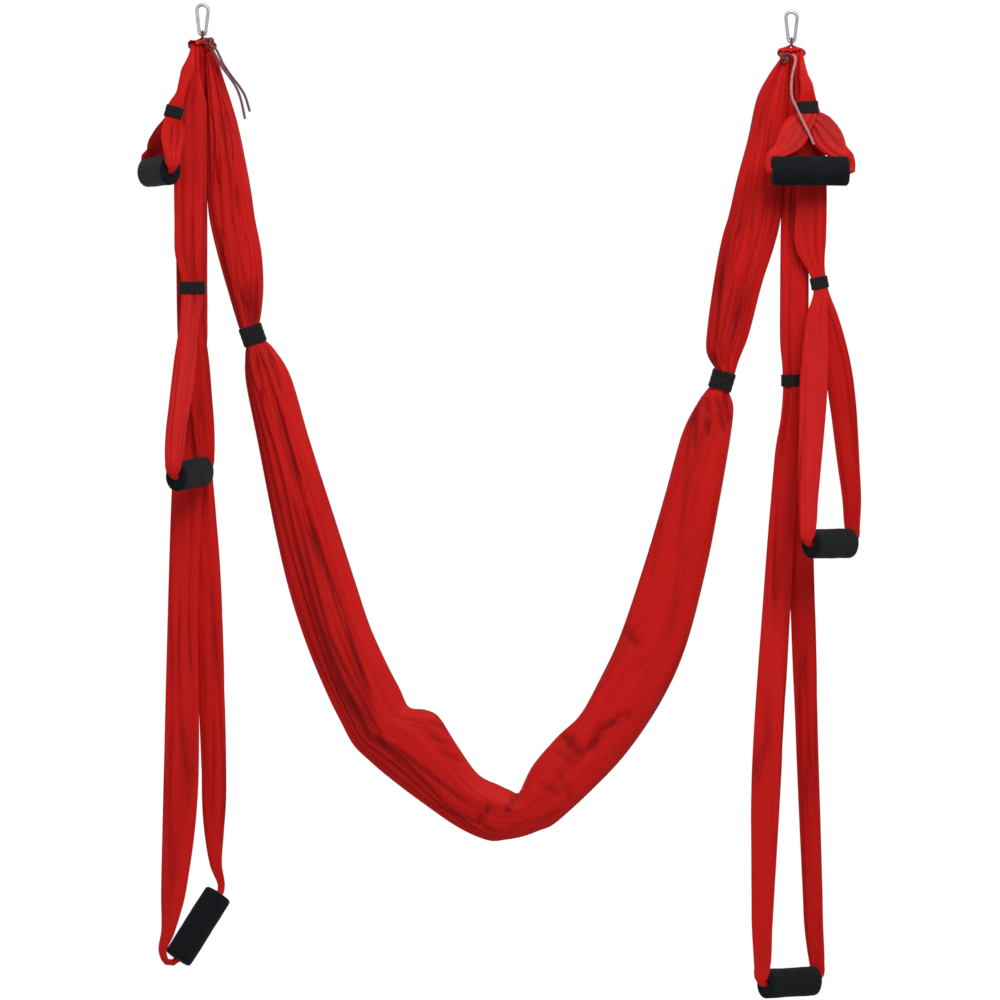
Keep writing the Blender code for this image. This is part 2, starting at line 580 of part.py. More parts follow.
def tail(name, route, settings):
    """A loose cord end, as a round tube along a smooth curve through its route."""
    points = [row[0] for row in spline([[Vector(point)] for point in route], 24)]
    curve = bpy.data.curves.new(name, "CURVE")
    curve.dimensions = "3D"
    curve.bevel_depth = CORD_RADIUS
    curve.bevel_resolution = 2
    curve.use_fill_caps = True
    line = curve.splines.new("POLY")
    line.points.add(len(points) - 1)
    for point, spot in zip(line.points, points):
        point.co = (*spot, 1.0)
    curve.materials.append(look(settings))
    bpy.context.scene.collection.objects.link(bpy.data.objects.new(name, curve))


def hem_sleeve(side):
    """The sewn tunnel at the end of the hammock, gathered on the cord."""
    inner_end = -CORD_BASE_LENGTH / 2 + TOUCH_GAP
    start = place(side, inner_end, 0.0, BASE_DROP)
    bore = CORD_RADIUS + TOUCH_GAP
    middle = (bore + SLEEVE_OUTER) / 2
    outward = X_AXIS * OUTWARD[side]
    rings = []
    pleats = 4
    rounds = 16
    for i in range(rounds):
        angle = 2 * math.pi * i / rounds
        radial = Y_AXIS * math.sin(angle) + Z_AXIS * math.cos(angle)
        outline = [(0.0, bore), (SLEEVE_LENGTH, bore)]
        for j in range(2 * pleats, -1, -1):
            outline.append((SLEEVE_LENGTH * j / (2 * pleats), SLEEVE_OUTER - SLEEVE_FOLD * (j % 2)))
        rings.append([start + outward * along + radial * out for along, out in outline])
    bm = loft(rings, closed=True)
    add_object(f"{side}_hem_sleeve", bm, CLOTH_LOOK)
    return middle


def mouth_rows(side):
    """The hammock's edges right under its sleeve."""
    drop = BASE_DROP + SLEEVE_OUTER + TOUCH_GAP
    inner = -CORD_BASE_LENGTH / 2 + TOUCH_GAP
    outer = inner + SLEEVE_LENGTH
    return place(side, outer, 0.0, drop), place(side, inner, 0.0, drop)


def band_frame(pixels):
    outer, inner = photo_place(*pixels[:2]), photo_place(*pixels[2:4])
    across = (inner - outer).normalized()
    return (outer + inner) / 2, across, across.cross(Y_AXIS).normalized()


def hammock():
    """One length of gathered cloth from sleeve to sleeve, with its main folds."""
    def on_span(pixels):
        return [[photo_place(*row[:2]), photo_place(*row[2:4]), row[4]] for row in pixels]

    def band_edge(pixels, way):
        outer, inner, depth = on_span([pixels])[0]
        shift = band_frame(pixels)[2] * (way * (MAIN_BAND_HEIGHT / 2 + CLOTH_GAP))
        return [outer + shift, inner + shift, depth]

    stretches = [
        ([[*mouth_rows("left"), MOUTH_DEPTH_SHARE]] + on_span(LEFT_TOP_PIXELS)
         + [band_edge(LEFT_BAND_PIXELS, 1)], TOP_STATIONS),
        ([band_edge(LEFT_BAND_PIXELS, -1)] + on_span(SEAT_PIXELS)
         + [band_edge(RIGHT_BAND_PIXELS, 1)], SEAT_STATIONS),
        ([band_edge(RIGHT_BAND_PIXELS, -1)] + on_span(RIGHT_TOP_PIXELS)
         + [[*mouth_rows("right"), MOUTH_DEPTH_SHARE]], TOP_STATIONS),
    ]
    rings = []
    for rows, count in stretches:
        centred = [[(outer + inner) / 2, (outer - inner) / 2, depth] for outer, inner, depth in rows]
        for centre, reach, depth in spline(centred, count):
            centre = centre + Y_AXIS * SEAT_SET_BACK * ease(-centre.z / SEAT_DROP)
            outline = []
            for j, (a, b) in enumerate(oval(CLOTH_SIDES, reach.length, depth * SEAT_DEPTH / 2, 2.2)):
                wave = 0.5 - 0.5 * math.cos(CLOTH_FOLDS * 2 * math.pi * j / CLOTH_SIDES)
                swell = 1 - CLOTH_FOLD_SHARE * wave
                outline.append((a * (1 - CLOTH_FOLD_SHARE * 0.3 * wave), b * swell))
            rings.append(ring_at(centre, reach.normalized(), Y_AXIS, outline))
    add_object("hammock_cloth", loft(rings), CLOTH_LOOK)


def band(name, centre, across, through, along, width, depth, height, settings, ribs=0):
    """A flat loop of webbing, with raised rows around it."""
    half_height = height / 2
    rounds = 20
    inner = oval(rounds, width / 2 - BAND_THICKNESS, depth / 2 - BAND_THICKNESS, BAND_SQUARENESS)
    outer = oval(rounds, width / 2, depth / 2, BAND_SQUARENESS)
    levels = [(-half_height, 1.0), (half_height, 1.0)]
    if ribs:
        levels = [(mix(-half_height, half_height, i / (2 * ribs)), 1.0 if i % 2 else 0.55)
                  for i in range(2 * ribs + 1)]
    rings = []
    for (ia, ib), (oa, ob) in zip(inner, outer):
        wall_in = centre + across * ia + through * ib
        wall_out = across * (oa - ia) + through * (ob - ib)
        ring = [wall_in + along * half_height, wall_in - along * half_height]
        ring += [wall_in + wall_out * share + along * level for level, share in levels]
        rings.append(ring)
    add_object(name, loft(rings, closed=True), settings, smooth_angle=50.0)


def main_band(side):
    centre, across, along = band_frame(LEFT_BAND_PIXELS if side == "left" else RIGHT_BAND_PIXELS)
    centre = centre + Y_AXIS * SEAT_SET_BACK * ease(-centre.z / SEAT_DROP)
    band(f"{side}_main_band", centre, across, Y_AXIS, along, MAIN_BAND_WIDTH, MAIN_BAND_DEPTH,
         MAIN_BAND_HEIGHT, BAND_LOOK, ribs=MAIN_BAND_RIBS)


def grip_frame(strap):
    """Middle of the grip and the direction to its near end."""
    side = strap["side"]
    middle = place(side, strap["grip_offset"], strap["grip_depth"], strap["grip_drop"])
    turn, tilt = math.radians(strap["turn"]), math.radians(strap["tilt"])
    outward = OUTWARD[side]
    near_is_outer = 1.0 if strap["near"] == "outer" else -1.0
    to_near = Vector((outward * near_is_outer * math.cos(turn) * math.cos(tilt),
                      -math.sin(turn) * math.cos(tilt), -near_is_outer * math.sin(tilt)))
    return middle, to_near


def grip(name, strap):
    """A foam sleeve, oval outside and round inside, with rounded ends."""
    middle, to_near = grip_frame(strap)
    level = to_near.cross(Z_AXIS).normalized()
    upright = level.cross(to_near).normalized()
    rounds = 16
    bore = (BUNDLE_DIAMETER / 2 + TOUCH_GAP) / math.cos(math.pi / rounds)
    half = GRIP_LENGTH / 2
    rings = []
    wide = oval(rounds, 1.0, 1.0, 2.0)
    for c, s in wide:
        out = level * (GRIP_THICKNESS / 2 * c) + upright * (GRIP_WIDTH / 2 * s)
        direction = out.normalized()
        corner = out - direction * GRIP_EDGE
        inner = (level * c + upright * s) * bore
        ring = [middle + inner - to_near * half, middle + corner - to_near * half]
        for along in (-half + GRIP_EDGE, half - GRIP_EDGE):
            ring.append(middle + out + to_near * along)
        ring.insert(2, middle + corner + direction * GRIP_EDGE * 0.7 - to_near * (half - GRIP_EDGE * 0.3))
        ring.append(middle + corner + direction * GRIP_EDGE * 0.7 + to_near * (half - GRIP_EDGE * 0.3))
        ring += [middle + corner + to_near * half, middle + inner + to_near * half]
        rings.append(ring)
    add_object(name, loft(rings, closed=True), FOAM_LOOK, middle)


def slot_offset(strap):
    """Middle of the strap's place on the cord."""
    start = -CORD_BASE_LENGTH / 2 + TOUCH_GAP + SLEEVE_LENGTH
    return start + CLOTH_GAP + SLOT_WIDTH / 2 + strap["slot"] * (SLOT_WIDTH + CLOTH_GAP)


def leg_end(strap, direction):
    """Where a leg stands beside the end of the grip, and where it enters the bore."""
    middle = grip_frame(strap)[0]
    mouth = middle + direction * (GRIP_LENGTH / 2)
    lift = (Z_AXIS - direction * direction.z).normalized()
    raised = min(max(1 - 1.2 * direction.z, 0.0), 1.0)
    reach = BEND_REACH * (1 + 1.2 * abs(direction.z))
    return mouth, mouth + direction * reach + lift * ((GRIP_WIDTH / 2 + TOUCH_GAP) * raised)


def settle_place(strap, layer):
    """Depth of a layer where it has settled, further apart the more the strap leans there."""
    lean = math.hypot(strap["settle_depth"], SETTLE_DROP) / SETTLE_DROP
    return strap["settle_depth"] + layer * LAYER_OFFSET * lean


def upper_rows(strap, layer):
    """The stretch from the cord to the band: place, half width and half thickness."""
    slot = slot_offset(strap)
    slot_inner, slot_outer = slot - SLOT_WIDTH / 2, slot + SLOT_WIDTH / 2
    settled, thick = strap["settle_depth"], LAYER_THICKNESS / 2
    rows = []

    def add(inner, outer, depth, drop):
        spot = place(strap["side"], (inner + outer) / 2, depth, BASE_DROP + drop)
        rows.append([spot, (outer - inner) / 2, thick])

    settled_layer = settle_place(strap, layer)
    for share in (1.0, 1.3):
        add(slot_inner, slot_outer, settled_layer, SETTLE_DROP * share)
    for fall, inner_share, outer_share in UPPER_SHARES[strap["upper_shares"]]:
        depth = mix(settled, strap["band_depth"], ease(fall * 1.25))
        add(mix(slot_inner, strap["upper_inner"], inner_share),
            mix(slot_outer, strap["upper_outer"], outer_share),
            depth + layer * LAYER_OFFSET, strap["band_drop"] * fall)
    return rows


def leg_rows(strap, layer):
    """The stretch from the band to the grip's end."""
    to_near = grip_frame(strap)[1]
    beside = leg_end(strap, to_near if layer < 0 else -to_near)[1]
    centre = band_centre(strap)
    rows = []
    for fall, reach, depth, width in LEG_SHARES[strap["near_shares" if layer < 0 else "far_shares"]]:
        spot = Vector((mix(centre.x, beside.x, reach), mix(centre.y, beside.y, depth),
                       mix(centre.z, beside.z, fall)))
        spot += Y_AXIS * (layer * LAYER_OFFSET * (1 - depth))
        rows.append([spot, strap["leg_width"] / 2 * width, LAYER_THICKNESS / 2 * 1.15])
    return rows


def band_centre(strap):
    return place(strap["side"], strap["band_offset"], strap["band_depth"], BASE_DROP + strap["band_drop"])


def strap_band_axes(strap):
    """Across, through and up along the strap where its band sits."""
    above = sum((upper_rows(strap, layer)[-1][0] for layer in (-1, 1)), Vector((0.0, 0.0, 0.0))) / 2
    below = sum((leg_rows(strap, layer)[0][0] for layer in (-1, 1)), Vector((0.0, 0.0, 0.0))) / 2
    centre = band_centre(strap)
    along = ((above - centre).normalized() + (centre - below).normalized()).normalized()
    across, through = upright_frame(along, X_AXIS)
    if through.y < 0:
        through = -through
    return across, through, along


def half_strap(strap, layer):
    """Sections of half the loop, from the top of the cord to the inside of the grip. The front
    layer (-1) runs to the near end and the back layer (+1) to the far end. Each section is a
    place, half width, half thickness, squareness and, where it is fixed, its axes."""
    side, thick = strap["side"], LAYER_THICKNESS / 2
    bundle = BUNDLE_DIAMETER / 2
    slot = slot_offset(strap)
    middle, to_near = grip_frame(strap)
    direction = to_near if layer < 0 else -to_near
    mouth, beside = leg_end(strap, direction)
    across, through, along = strap_band_axes(strap)
    sections = []
    aim = Vector((settle_place(strap, layer) * layer, -SETTLE_DROP))
    last = math.atan2(-aim.y, aim.x) + math.asin(BIGHT_RADIUS / aim.length)
    for step in range(5):
        angle = last * step / 4
        spot = place(side, slot, layer * BIGHT_RADIUS * math.sin(angle),
                     BASE_DROP - BIGHT_RADIUS * math.cos(angle))
        turned = Y_AXIS * math.sin(angle) * layer + Z_AXIS * math.cos(angle)
        sections.append([spot, SLOT_WIDTH / 2, thick, CLOTH_SQUARENESS, (X_AXIS, turned)])

    band_half = strap["band_width"] / 2 - BAND_THICKNESS - CLOTH_GAP
    edges = []
    for way in (1, -1):
        spot = band_centre(strap) + through * (layer * LAYER_OFFSET)
        edges.append([spot + along * (way * (BAND_HEIGHT / 2 + CLOTH_GAP)), band_half, thick])
    upper = upper_rows(strap, layer)
    lower = leg_rows(strap, layer)
    sections += [[*row, CLOTH_SQUARENESS, None] for row in upper[:1]]
    sections += [[*row, CLOTH_SQUARENESS, None] for row in evenly(upper[1:] + edges[:1])[:-1]]
    sections += [[*edge, CLOTH_SQUARENESS, (across, through)] for edge in edges]
    sections += [[*row, CLOTH_SQUARENESS, None] for row in evenly(edges[1:] + lower)[1:]]

    handle = (beside - mouth).length * 0.55
    turn_points = [beside, beside - Z_AXIS * handle, mouth + direction * handle, mouth]
    for t in (0.0, 0.4, 0.75):
        spot = sum((turn_points[k] * (math.comb(3, k) * t ** k * (1 - t) ** (3 - k)) for k in range(4)),
                   Vector((0.0, 0.0, 0.0)))
        sections.append([spot, mix(bundle * 1.1, bundle, t), mix(thick * 1.3, bundle, t), 2.0, None])
    for share in (0.0, 0.5):
        sections.append([mix(mouth, middle, share), bundle, bundle, 2.0, None])
    return sections


def evenly(rows):
    """Rows read at an even spacing from the curve through the given ones, ends included."""
    run = sum((b[0] - a[0]).length for a, b in zip(rows, rows[1:]))
    return spline(rows, max(4, round(run / STATION_SPACING) + 1))


def strap_loop(name, strap):
    front, back = half_strap(strap, -1), half_strap(strap, 1)
    sections = front + back[:0:-1]
    rings = []
    for section, tangent in zip(sections, tangents([row[0] for row in sections], closed=True)):
        spot, half_width, half_depth, squareness, axes = section
        across, through = axes or upright_frame(tangent, X_AXIS)
        outline = oval(STRAP_SIDES, half_width, half_depth, squareness)
        crease = CREASE_SHARE if half_width > 2 * half_depth else 0.0
        outline = [(a, b * (1 - crease) if abs(a) < half_width * 0.1 else b) for a, b in outline]
        rings.append(ring_at(spot, across, through, outline))
    hinge = place(strap["side"], slot_offset(strap), 0.0, BASE_DROP)
    add_object(f"{name}_strap", loft(rings, closed=True), CLOTH_LOOK, hinge)


def strap_band(name, strap):
    """The band around both layers, square to the strap where it sits."""
    across, through, along = strap_band_axes(strap)
    depth = 2 * (LAYER_THICKNESS + CLOTH_GAP / 2 + BAND_THICKNESS + TOUCH_GAP)
    band(f"{name}_band", band_centre(strap), across, through, along, strap["band_width"], depth,
         BAND_HEIGHT, BAND_LOOK)


def clear_scene():
    for old in list(bpy.data.objects):
        bpy.data.objects.remove(old, do_unlink=True)


def build():
    clear_scene()
    for side, settings in (("left", LEFT_CORD_LOOK), ("right", RIGHT_CORD_LOOK)):
        hinge, latch, up = hook_body(side)
        gate(side, hinge, latch, up)
        cord_ring(side, settings)
        hem_sleeve(side)
        main_band(side)
    knot("left", offset=-0.0090, drop=0.0115, depth=-0.0139, settings=LEFT_CORD_LOOK)
    knot("right", offset=-0.0105, drop=0.0235, depth=-0.0140, settings=RIGHT_CORD_LOOK)
    tail("left_cord_tail_long", LEFT_TAIL_LONG, LEFT_CORD_LOOK)
    tail("left_cord_tail_short", LEFT_TAIL_SHORT, LEFT_CORD_LOOK)
    tail("right_cord_tail", RIGHT_TAIL, RIGHT_CORD_LOOK)
    hammock()
    for name, strap in STRAPS.items():
        strap_loop(name, strap)
        strap_band(name, strap)
        grip(f"{name}_grip", strap)


build()
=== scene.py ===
import math

import bmesh
import bpy
from mathutils import Matrix, Vector, noise


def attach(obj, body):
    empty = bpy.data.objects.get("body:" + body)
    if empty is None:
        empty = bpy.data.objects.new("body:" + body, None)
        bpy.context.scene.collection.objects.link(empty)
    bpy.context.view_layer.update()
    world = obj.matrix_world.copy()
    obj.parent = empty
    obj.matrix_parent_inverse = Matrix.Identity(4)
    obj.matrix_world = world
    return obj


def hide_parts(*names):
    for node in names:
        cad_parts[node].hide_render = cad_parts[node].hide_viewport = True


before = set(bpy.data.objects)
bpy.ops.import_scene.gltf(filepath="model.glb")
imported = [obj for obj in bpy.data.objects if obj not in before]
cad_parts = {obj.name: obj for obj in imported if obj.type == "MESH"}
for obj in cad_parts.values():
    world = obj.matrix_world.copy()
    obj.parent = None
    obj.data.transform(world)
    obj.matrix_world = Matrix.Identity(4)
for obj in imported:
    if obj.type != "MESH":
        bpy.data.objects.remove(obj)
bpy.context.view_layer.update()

xAxis = Vector((1.0, 0.0, 0.0))
yAxis = Vector((0.0, 1.0, 0.0))
zAxis = Vector((0.0, 0.0, 1.0))


def link(thing):
    bpy.context.scene.collection.objects.link(thing)


# Camera: straight on, one and a half metres across at the hooks
view = dict(distance=14.0, across=1.5, centre=(0.44625, -0.74025), sensor=36.0)

camera = bpy.data.cameras.new("camera")
camera.sensor_width = view["sensor"]
camera.lens = view["sensor"] * view["distance"] / view["across"]
bpy.context.scene.view_settings.view_transform = "Standard"
cameraObject = bpy.data.objects.new("camera", camera)
cameraObject.location = (view["centre"][0], -view["distance"], view["centre"][1])
cameraObject.rotation_euler = (math.pi / 2, 0.0, 0.0)
link(cameraObject)
bpy.context.scene.camera = cameraObject
print("camera placed")


# Layout, the same as the solids have
layout = dict(
    hangSpan=0.8835, hangStep=0.0105, seatDrop=1.2513,
    touchGap=0.0003, clothGap=0.0008,
    rodDiameter=0.005, hookLength=0.050,
    cordDiameter=0.004, cordBaseDrop=0.0198, cordBaseLength=0.035, cordShoulder=0.005,
    sleeveLength=0.0150, sleeveWall=0.0055,
    layerThickness=0.0055, slotWidth=0.0056, settleDrop=0.026,
    bandThickness=0.0016, bandHeight=0.018, bundleDiameter=0.0104, bendReach=0.0066,
    gripLength=0.117, gripWidth=0.045, gripThickness=0.034, stationSpacing=0.048)

touchGap, clothGap = layout["touchGap"], layout["clothGap"]
rodRadius = layout["rodDiameter"] / 2
cordRadius = layout["cordDiameter"] / 2
lowerRodDrop = layout["hookLength"] - layout["rodDiameter"] - rodRadius
baseDrop = lowerRodDrop + layout["cordBaseDrop"]
bightRadius = cordRadius + touchGap + layout["layerThickness"] / 2
layerOffset = (layout["layerThickness"] + clothGap) / 2
sleeveOuter = cordRadius + touchGap + layout["sleeveWall"]
outwardOf = {"left": -1.0, "right": 1.0}
hangOf = {"left": Vector((0.0, 0.0, 0.0)),
          "right": Vector((layout["hangSpan"], 0.0, -layout["hangStep"]))}
hangPixel = {"left": (202.5, 6.5), "right": (791.5, 13.5)}
seatLowPixel = 840.7


def mix(start, end, share):
    return start + (end - start) * share


def ease(share):
    share = min(max(share, 0.0), 1.0)
    return share * share * (3 - 2 * share)


def power(value, exponent):
    # keeps the sign
    return math.copysign(abs(value) ** exponent, value)


def wobble(*spot):
    # smooth noise, about -1 to 1
    return noise.noise(Vector(spot))


def valley(noiseValue, narrow, rounding):
    # 1 along the lines where the noise is zero, and 0 away from them
    return 1 - min(abs(noiseValue) * narrow, 1.0) ** rounding


def place(side, offset, depth, drop):
    # offset runs outwards from the hook, drop down from its hang point
    hang = hangOf[side]
    return Vector((hang.x + outwardOf[side] * offset, depth, hang.z - drop))


def pixelPlace(x, y):
    # lays a pixel of the photograph on the span and the drop
    metres = layout["seatDrop"] / (seatLowPixel - hangPixel["left"][1])
    across = x - hangPixel["left"][0]
    span = hangPixel["right"][0] - hangPixel["left"][0]
    step = hangPixel["right"][1] - hangPixel["left"][1]
    share = ease(across / span)
    wider = layout["hangSpan"] - span * metres
    lower = layout["hangStep"] - step * metres
    drop = (y - hangPixel["left"][1]) * metres
    return Vector((across * metres + wider * share, 0.0, -drop - lower * share))


def distances(points, closed=False):
    # how far along the path each point lies; a closed one ends with the way round
    found = [0.0]
    for a, b in zip(points, points[1:] + (points[:1] if closed else [])):
        found.append(found[-1] + (b - a).length)
    return found


def smoothRows(rows, count):
    # reads count evenly spaced rows from a smooth curve through the given ones
    steps = 12

    def at(position):
        index = min(int(position), len(rows) - 2)
        t = position - index
        before, start = rows[max(index - 1, 0)], rows[index]
        end, after = rows[index + 1], rows[min(index + 2, len(rows) - 1)]
        return [
            (2 * b + (c - a) * t + (2 * a - 5 * b + 4 * c - d) * t ** 2
             + (3 * b - a - 3 * c + d) * t ** 3) * 0.5
            for a, b, c, d in zip(before, start, end, after)
        ]

    fine = [at(i / steps) for i in range(steps * (len(rows) - 1) + 1)]
    travelled = distances([row[0] for row in fine])
    picked, index = [], 0
    for i in range(count):
        goal = travelled[-1] * i / (count - 1)
        while index < len(fine) - 2 and travelled[index + 1] < goal:
            index += 1
        share = (goal - travelled[index]) / (travelled[index + 1] - travelled[index])
        picked.append([mix(a, b, min(share, 1.0)) for a, b in zip(fine[index], fine[index + 1])])
    return picked


def smoothLoop(rows, spacing):
    # the same for a closed loop, through rows that stand at uneven distances
    count = len(rows)
    run = [(rows[(i + 1) % count][0] - rows[i][0]).length for i in range(count)]
    picked = []
    for i in range(count):
        before, start = rows[i - 1], rows[i]
        end, after = rows[(i + 1) % count], rows[(i + 2) % count]
        back, here, ahead = run[i - 1], run[i], run[(i + 1) % count]
        steps = max(1, round(here / spacing))
        for step in range(steps):
            t = step / steps
            row = []
            for a, b, c, d in zip(before, start, end, after):
                slopeIn = ((b - a) * (here / back)
                           + (c - b) * (back / here)) / (back + here) * here
                slopeOut = ((c - b) * (ahead / here)
                            + (d - c) * (here / ahead)) / (here + ahead) * here
                row.append(b * (2 * t ** 3 - 3 * t ** 2 + 1) + slopeIn * (t ** 3 - 2 * t ** 2 + t)
                           + c * (3 * t ** 2 - 2 * t ** 3) + slopeOut * (t ** 3 - t ** 2))
            picked.append(row)
    return picked


def tangentsOf(points, closed=False):
    found = []
    for i in range(len(points)):
        if closed:
            before, after = points[i - 1], points[(i + 1) % len(points)]
        else:
            before, after = points[max(i - 1, 0)], points[min(i + 1, len(points) - 1)]
        found.append((after - before).normalized())
    return found


def squareTo(vector, tangent):
    return (vector - tangent * vector.dot(tangent)).normalized()


# Mesh helpers
mergeDistance = 1e-7


def addPiece(name, bm, material, body, slot, nodes, sharpFrom=None):
    mesh = bpy.data.meshes.new(name)
    bm.to_mesh(mesh)
    bm.free()
    mesh.materials.append(material)
    mesh.shade_smooth()
    if sharpFrom:
        mesh.set_sharp_from_angle(angle=math.radians(sharpFrom))
    piece = bpy.data.objects.new(name, mesh)
    link(piece)
    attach(piece, body)
    if nodes:
        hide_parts(*nodes)
    return piece


def shapedGrid(columns, rows, spotAt, uvAt, closeColumns=False, closeRows=False, paintedShadeAt=None):
    # a grid whose corners go where spotAt says, closed round one way or both; the last function
    # gives each corner's painted shade, from 0 to 1, more of it deeper in a fold
    bm = bmesh.new()
    fold = bm.verts.layers.float.new("fold")
    bmesh.ops.create_grid(bm, x_segments=columns, y_segments=rows, size=0.5)
    pattern = bm.loops.layers.uv.new("cloth")
    indexOf = {}
    for vert in bm.verts:
        indexOf[vert] = (round((vert.co.x + 0.5) * columns), round((vert.co.y + 0.5) * rows))
    for face in bm.faces:
        for loop in face.loops:
            loop[pattern].uv = uvAt(*indexOf[loop.vert])
    for vert, (i, j) in indexOf.items():
        corner = (i % columns if closeColumns else i, j % rows if closeRows else j)
        vert.co = spotAt(*corner)
        if paintedShadeAt:
            vert[fold] = paintedShadeAt(*corner)
    if closeColumns or closeRows:
        bmesh.ops.remove_doubles(bm, verts=bm.verts[:], dist=mergeDistance)
        bmesh.ops.recalc_face_normals(bm, faces=bm.faces[:])
    return bm


def tube(path, radius, sides, closed=False):
    # a round cord along its path, its open ends rounded off
    capSteps, capLength, tip = 4, 0.8, 0.02
    spots, radii = list(path), [radius] * len(path)
    if not closed:
        heads = tangentsOf(path)
        caps = []
        for end, direction in ((path[0], -heads[0]), (path[-1], heads[-1])):
            angles = [math.pi / 2 * (step + 1) / capSteps for step in range(capSteps)]
            caps.append(([end + direction * (radius * capLength * math.sin(a)) for a in angles],
                         [radius * max(math.cos(a), tip) for a in angles]))
        (headSpots, headRadii), (tailSpots, tailRadii) = caps
        spots = headSpots[::-1] + spots + tailSpots
        radii = headRadii[::-1] + radii + tailRadii
    heads = tangentsOf(spots, closed)
    axes = []
    previous = squareTo(zAxis if abs(heads[0].z) < 0.9 else xAxis, heads[0])
    for head in heads:
        previous = squareTo(previous, head)
        axes.append((previous, head.cross(previous)))
    if closed:
        # spread the twist so that the last section meets the first
        last = squareTo(axes[-1][0], heads[0])
        twist = math.atan2(last.cross(axes[0][0]).dot(heads[0]), last.dot(axes[0][0]))
        turned = []
        for index, (head, (across, through)) in enumerate(zip(heads, axes)):
            angle = twist * index / len(heads)
            turned.append((across * math.cos(angle) + through * math.sin(angle),
                           through * math.cos(angle) - across * math.sin(angle)))
        axes = turned
    travelled = distances(spots, closed=True)
    rows = len(spots) if closed else len(spots) - 1

    def spotAt(i, j):
        angle = 2 * math.pi * i / sides
        across, through = axes[j]
        return spots[j] + (across * math.cos(angle) + through * math.sin(angle)) * radii[j]

    def uvAt(i, j):
        return (i / sides, travelled[j])

    bm = shapedGrid(sides, rows, spotAt, uvAt, closeColumns=True, closeRows=closed)
    if not closed:
        rims = [edge for edge in bm.edges if edge.is_boundary]
        bmesh.ops.holes_fill(bm, edges=rims, sides=sides)
        bmesh.ops.recalc_face_normals(bm, faces=bm.faces[:])
    return bm


# Shader helpers
class Wire:
    # a socket whose sums add Math nodes
    def __init__(self, tree, socket):
        self.tree = tree
        self.socket = socket

    def maths(self, operation, *values):
        node = self.tree.nodes.new("ShaderNodeMath")
        node.operation = operation
        for socket, value in zip(node.inputs, values):
            join(self.tree, socket, value)
        return Wire(self.tree, node.outputs[0])

    def __add__(self, other):
        return self.maths("ADD", self, other)

    def __radd__(self, other):
        return self.maths("ADD", other, self)

    def __sub__(self, other):
        return self.maths("SUBTRACT", self, other)

    def __rsub__(self, other):
        return self.maths("SUBTRACT", other, self)

    def __mul__(self, other):
        return self.maths("MULTIPLY", self, other)

    def __abs__(self):
        return self.maths("ABSOLUTE", self)

    def sine(self):
        return self.maths("SINE", self)

    def least(self, other):
        return self.maths("MINIMUM", self, other)

    def most(self, other):
        return self.maths("MAXIMUM", self, other)

    def clamped(self):
        return self.most(0.0).least(1.0)


def join(tree, socket, value):
    if isinstance(value, Wire):
        tree.links.new(value.socket, socket)
    else:
        socket.default_value = value


class Finish:
    # a material with one Principled shader; plain values go straight onto its sockets
    def __init__(self, name, **values):
        self.material = bpy.data.materials.new(name)
        self.material.use_nodes = True
        self.tree = self.material.node_tree
        self.shader = self.tree.nodes["Principled BSDF"]
        for key, value in values.items():
            self.feed(key, value)

    def feed(self, name, value):
        join(self.tree, self.shader.inputs[name.replace("_", " ")], value)

    def node(self, kind, settings=None, output=0, **values):
        made = self.tree.nodes.new("ShaderNode" + kind)
        for key, value in (settings or {}).items():
            if key == "stops":
                ramp = made.color_ramp
                while len(ramp.elements) < len(value):
                    ramp.elements.new(0.5)
                for element, (position, colour) in zip(ramp.elements, value):
                    element.position = position
                    element.color = (*colour, 1.0)
            else:
                setattr(made, key, value)
        for key, value in values.items():
            # n6 stands for input number 6, other names are the socket's own
            name = key.replace("_", " ")
            numbered = name[0] == "n" and name[1:].isdigit()
            join(self.tree, made.inputs[int(name[1:]) if numbered else name], value)
        return Wire(self.tree, made.outputs[output])

    def patternParts(self):
        # the piece's own pattern, and its two parts
        pattern = self.node("TexCoord", output=2)
        node = self.node("SeparateXYZ", Vector=pattern).socket.node
        return pattern, Wire(self.tree, node.outputs[0]), Wire(self.tree, node.outputs[1])

    def noise(self, vector, scale, detail=3.0, roughness=0.5, distortion=0.0):
        return self.node("TexNoise", Vector=vector, Scale=scale, Detail=detail,
                         Roughness=roughness, Distortion=distortion)

    def streaks(self, vector, scales, **values):
        # noise with a scale of its own along each axis
        return self.noise(self.node("Mapping", Vector=vector, Scale=scales), 1.0, **values)

    def colours(self, factor, *pair):
        # inputs 6 and 7 of a Mix node are its colours, output 2 is the mixed one
        first, second = (tone if isinstance(tone, Wire) else (*tone, 1.0) for tone in pair)
        return self.node("Mix", dict(data_type="RGBA"), output=2, n0=factor, n6=first, n7=second)

    def bump(self, height, strength, distance):
        self.feed("Normal", self.node("Bump", Height=height, Strength=strength,
                                      Distance=distance))


# Materials: lengths in metres, the scales of streaks per metre of the pattern
# in the red nylon, valley is the red of painted shade; deep and bright are the reds that the
# painted streaks and painted crinkle shade go to, and the weave and slubs too
nylonLook = dict(
    base=(0.565, 0.0054, 0.0040), deep=(0.400, 0.0013, 0.0013), bright=(0.640, 0.0095, 0.0065),
    valley=(0.235, 0.0004, 0.0005), baseShare=0.45, thread=0.0007,
    # the streaks after the slubs are painted satin sheen and crease shade
    slubs=(900.0, 25.0, 1.0), sheenShadeStreaks=(22.0, 9.0, 1.0), crinkle=(150.0, 34.0, 1.0),
    crumple=(46.0, 28.0, 1.0), shadeMottle=0.8, roughness=0.50, relief=0.0016,
    shader=dict(Sheen_Weight=0.06, Sheen_Roughness=0.35, Sheen_Tint=(1.0, 0.18, 0.14, 1.0),
                Specular_IOR_Level=0.13))


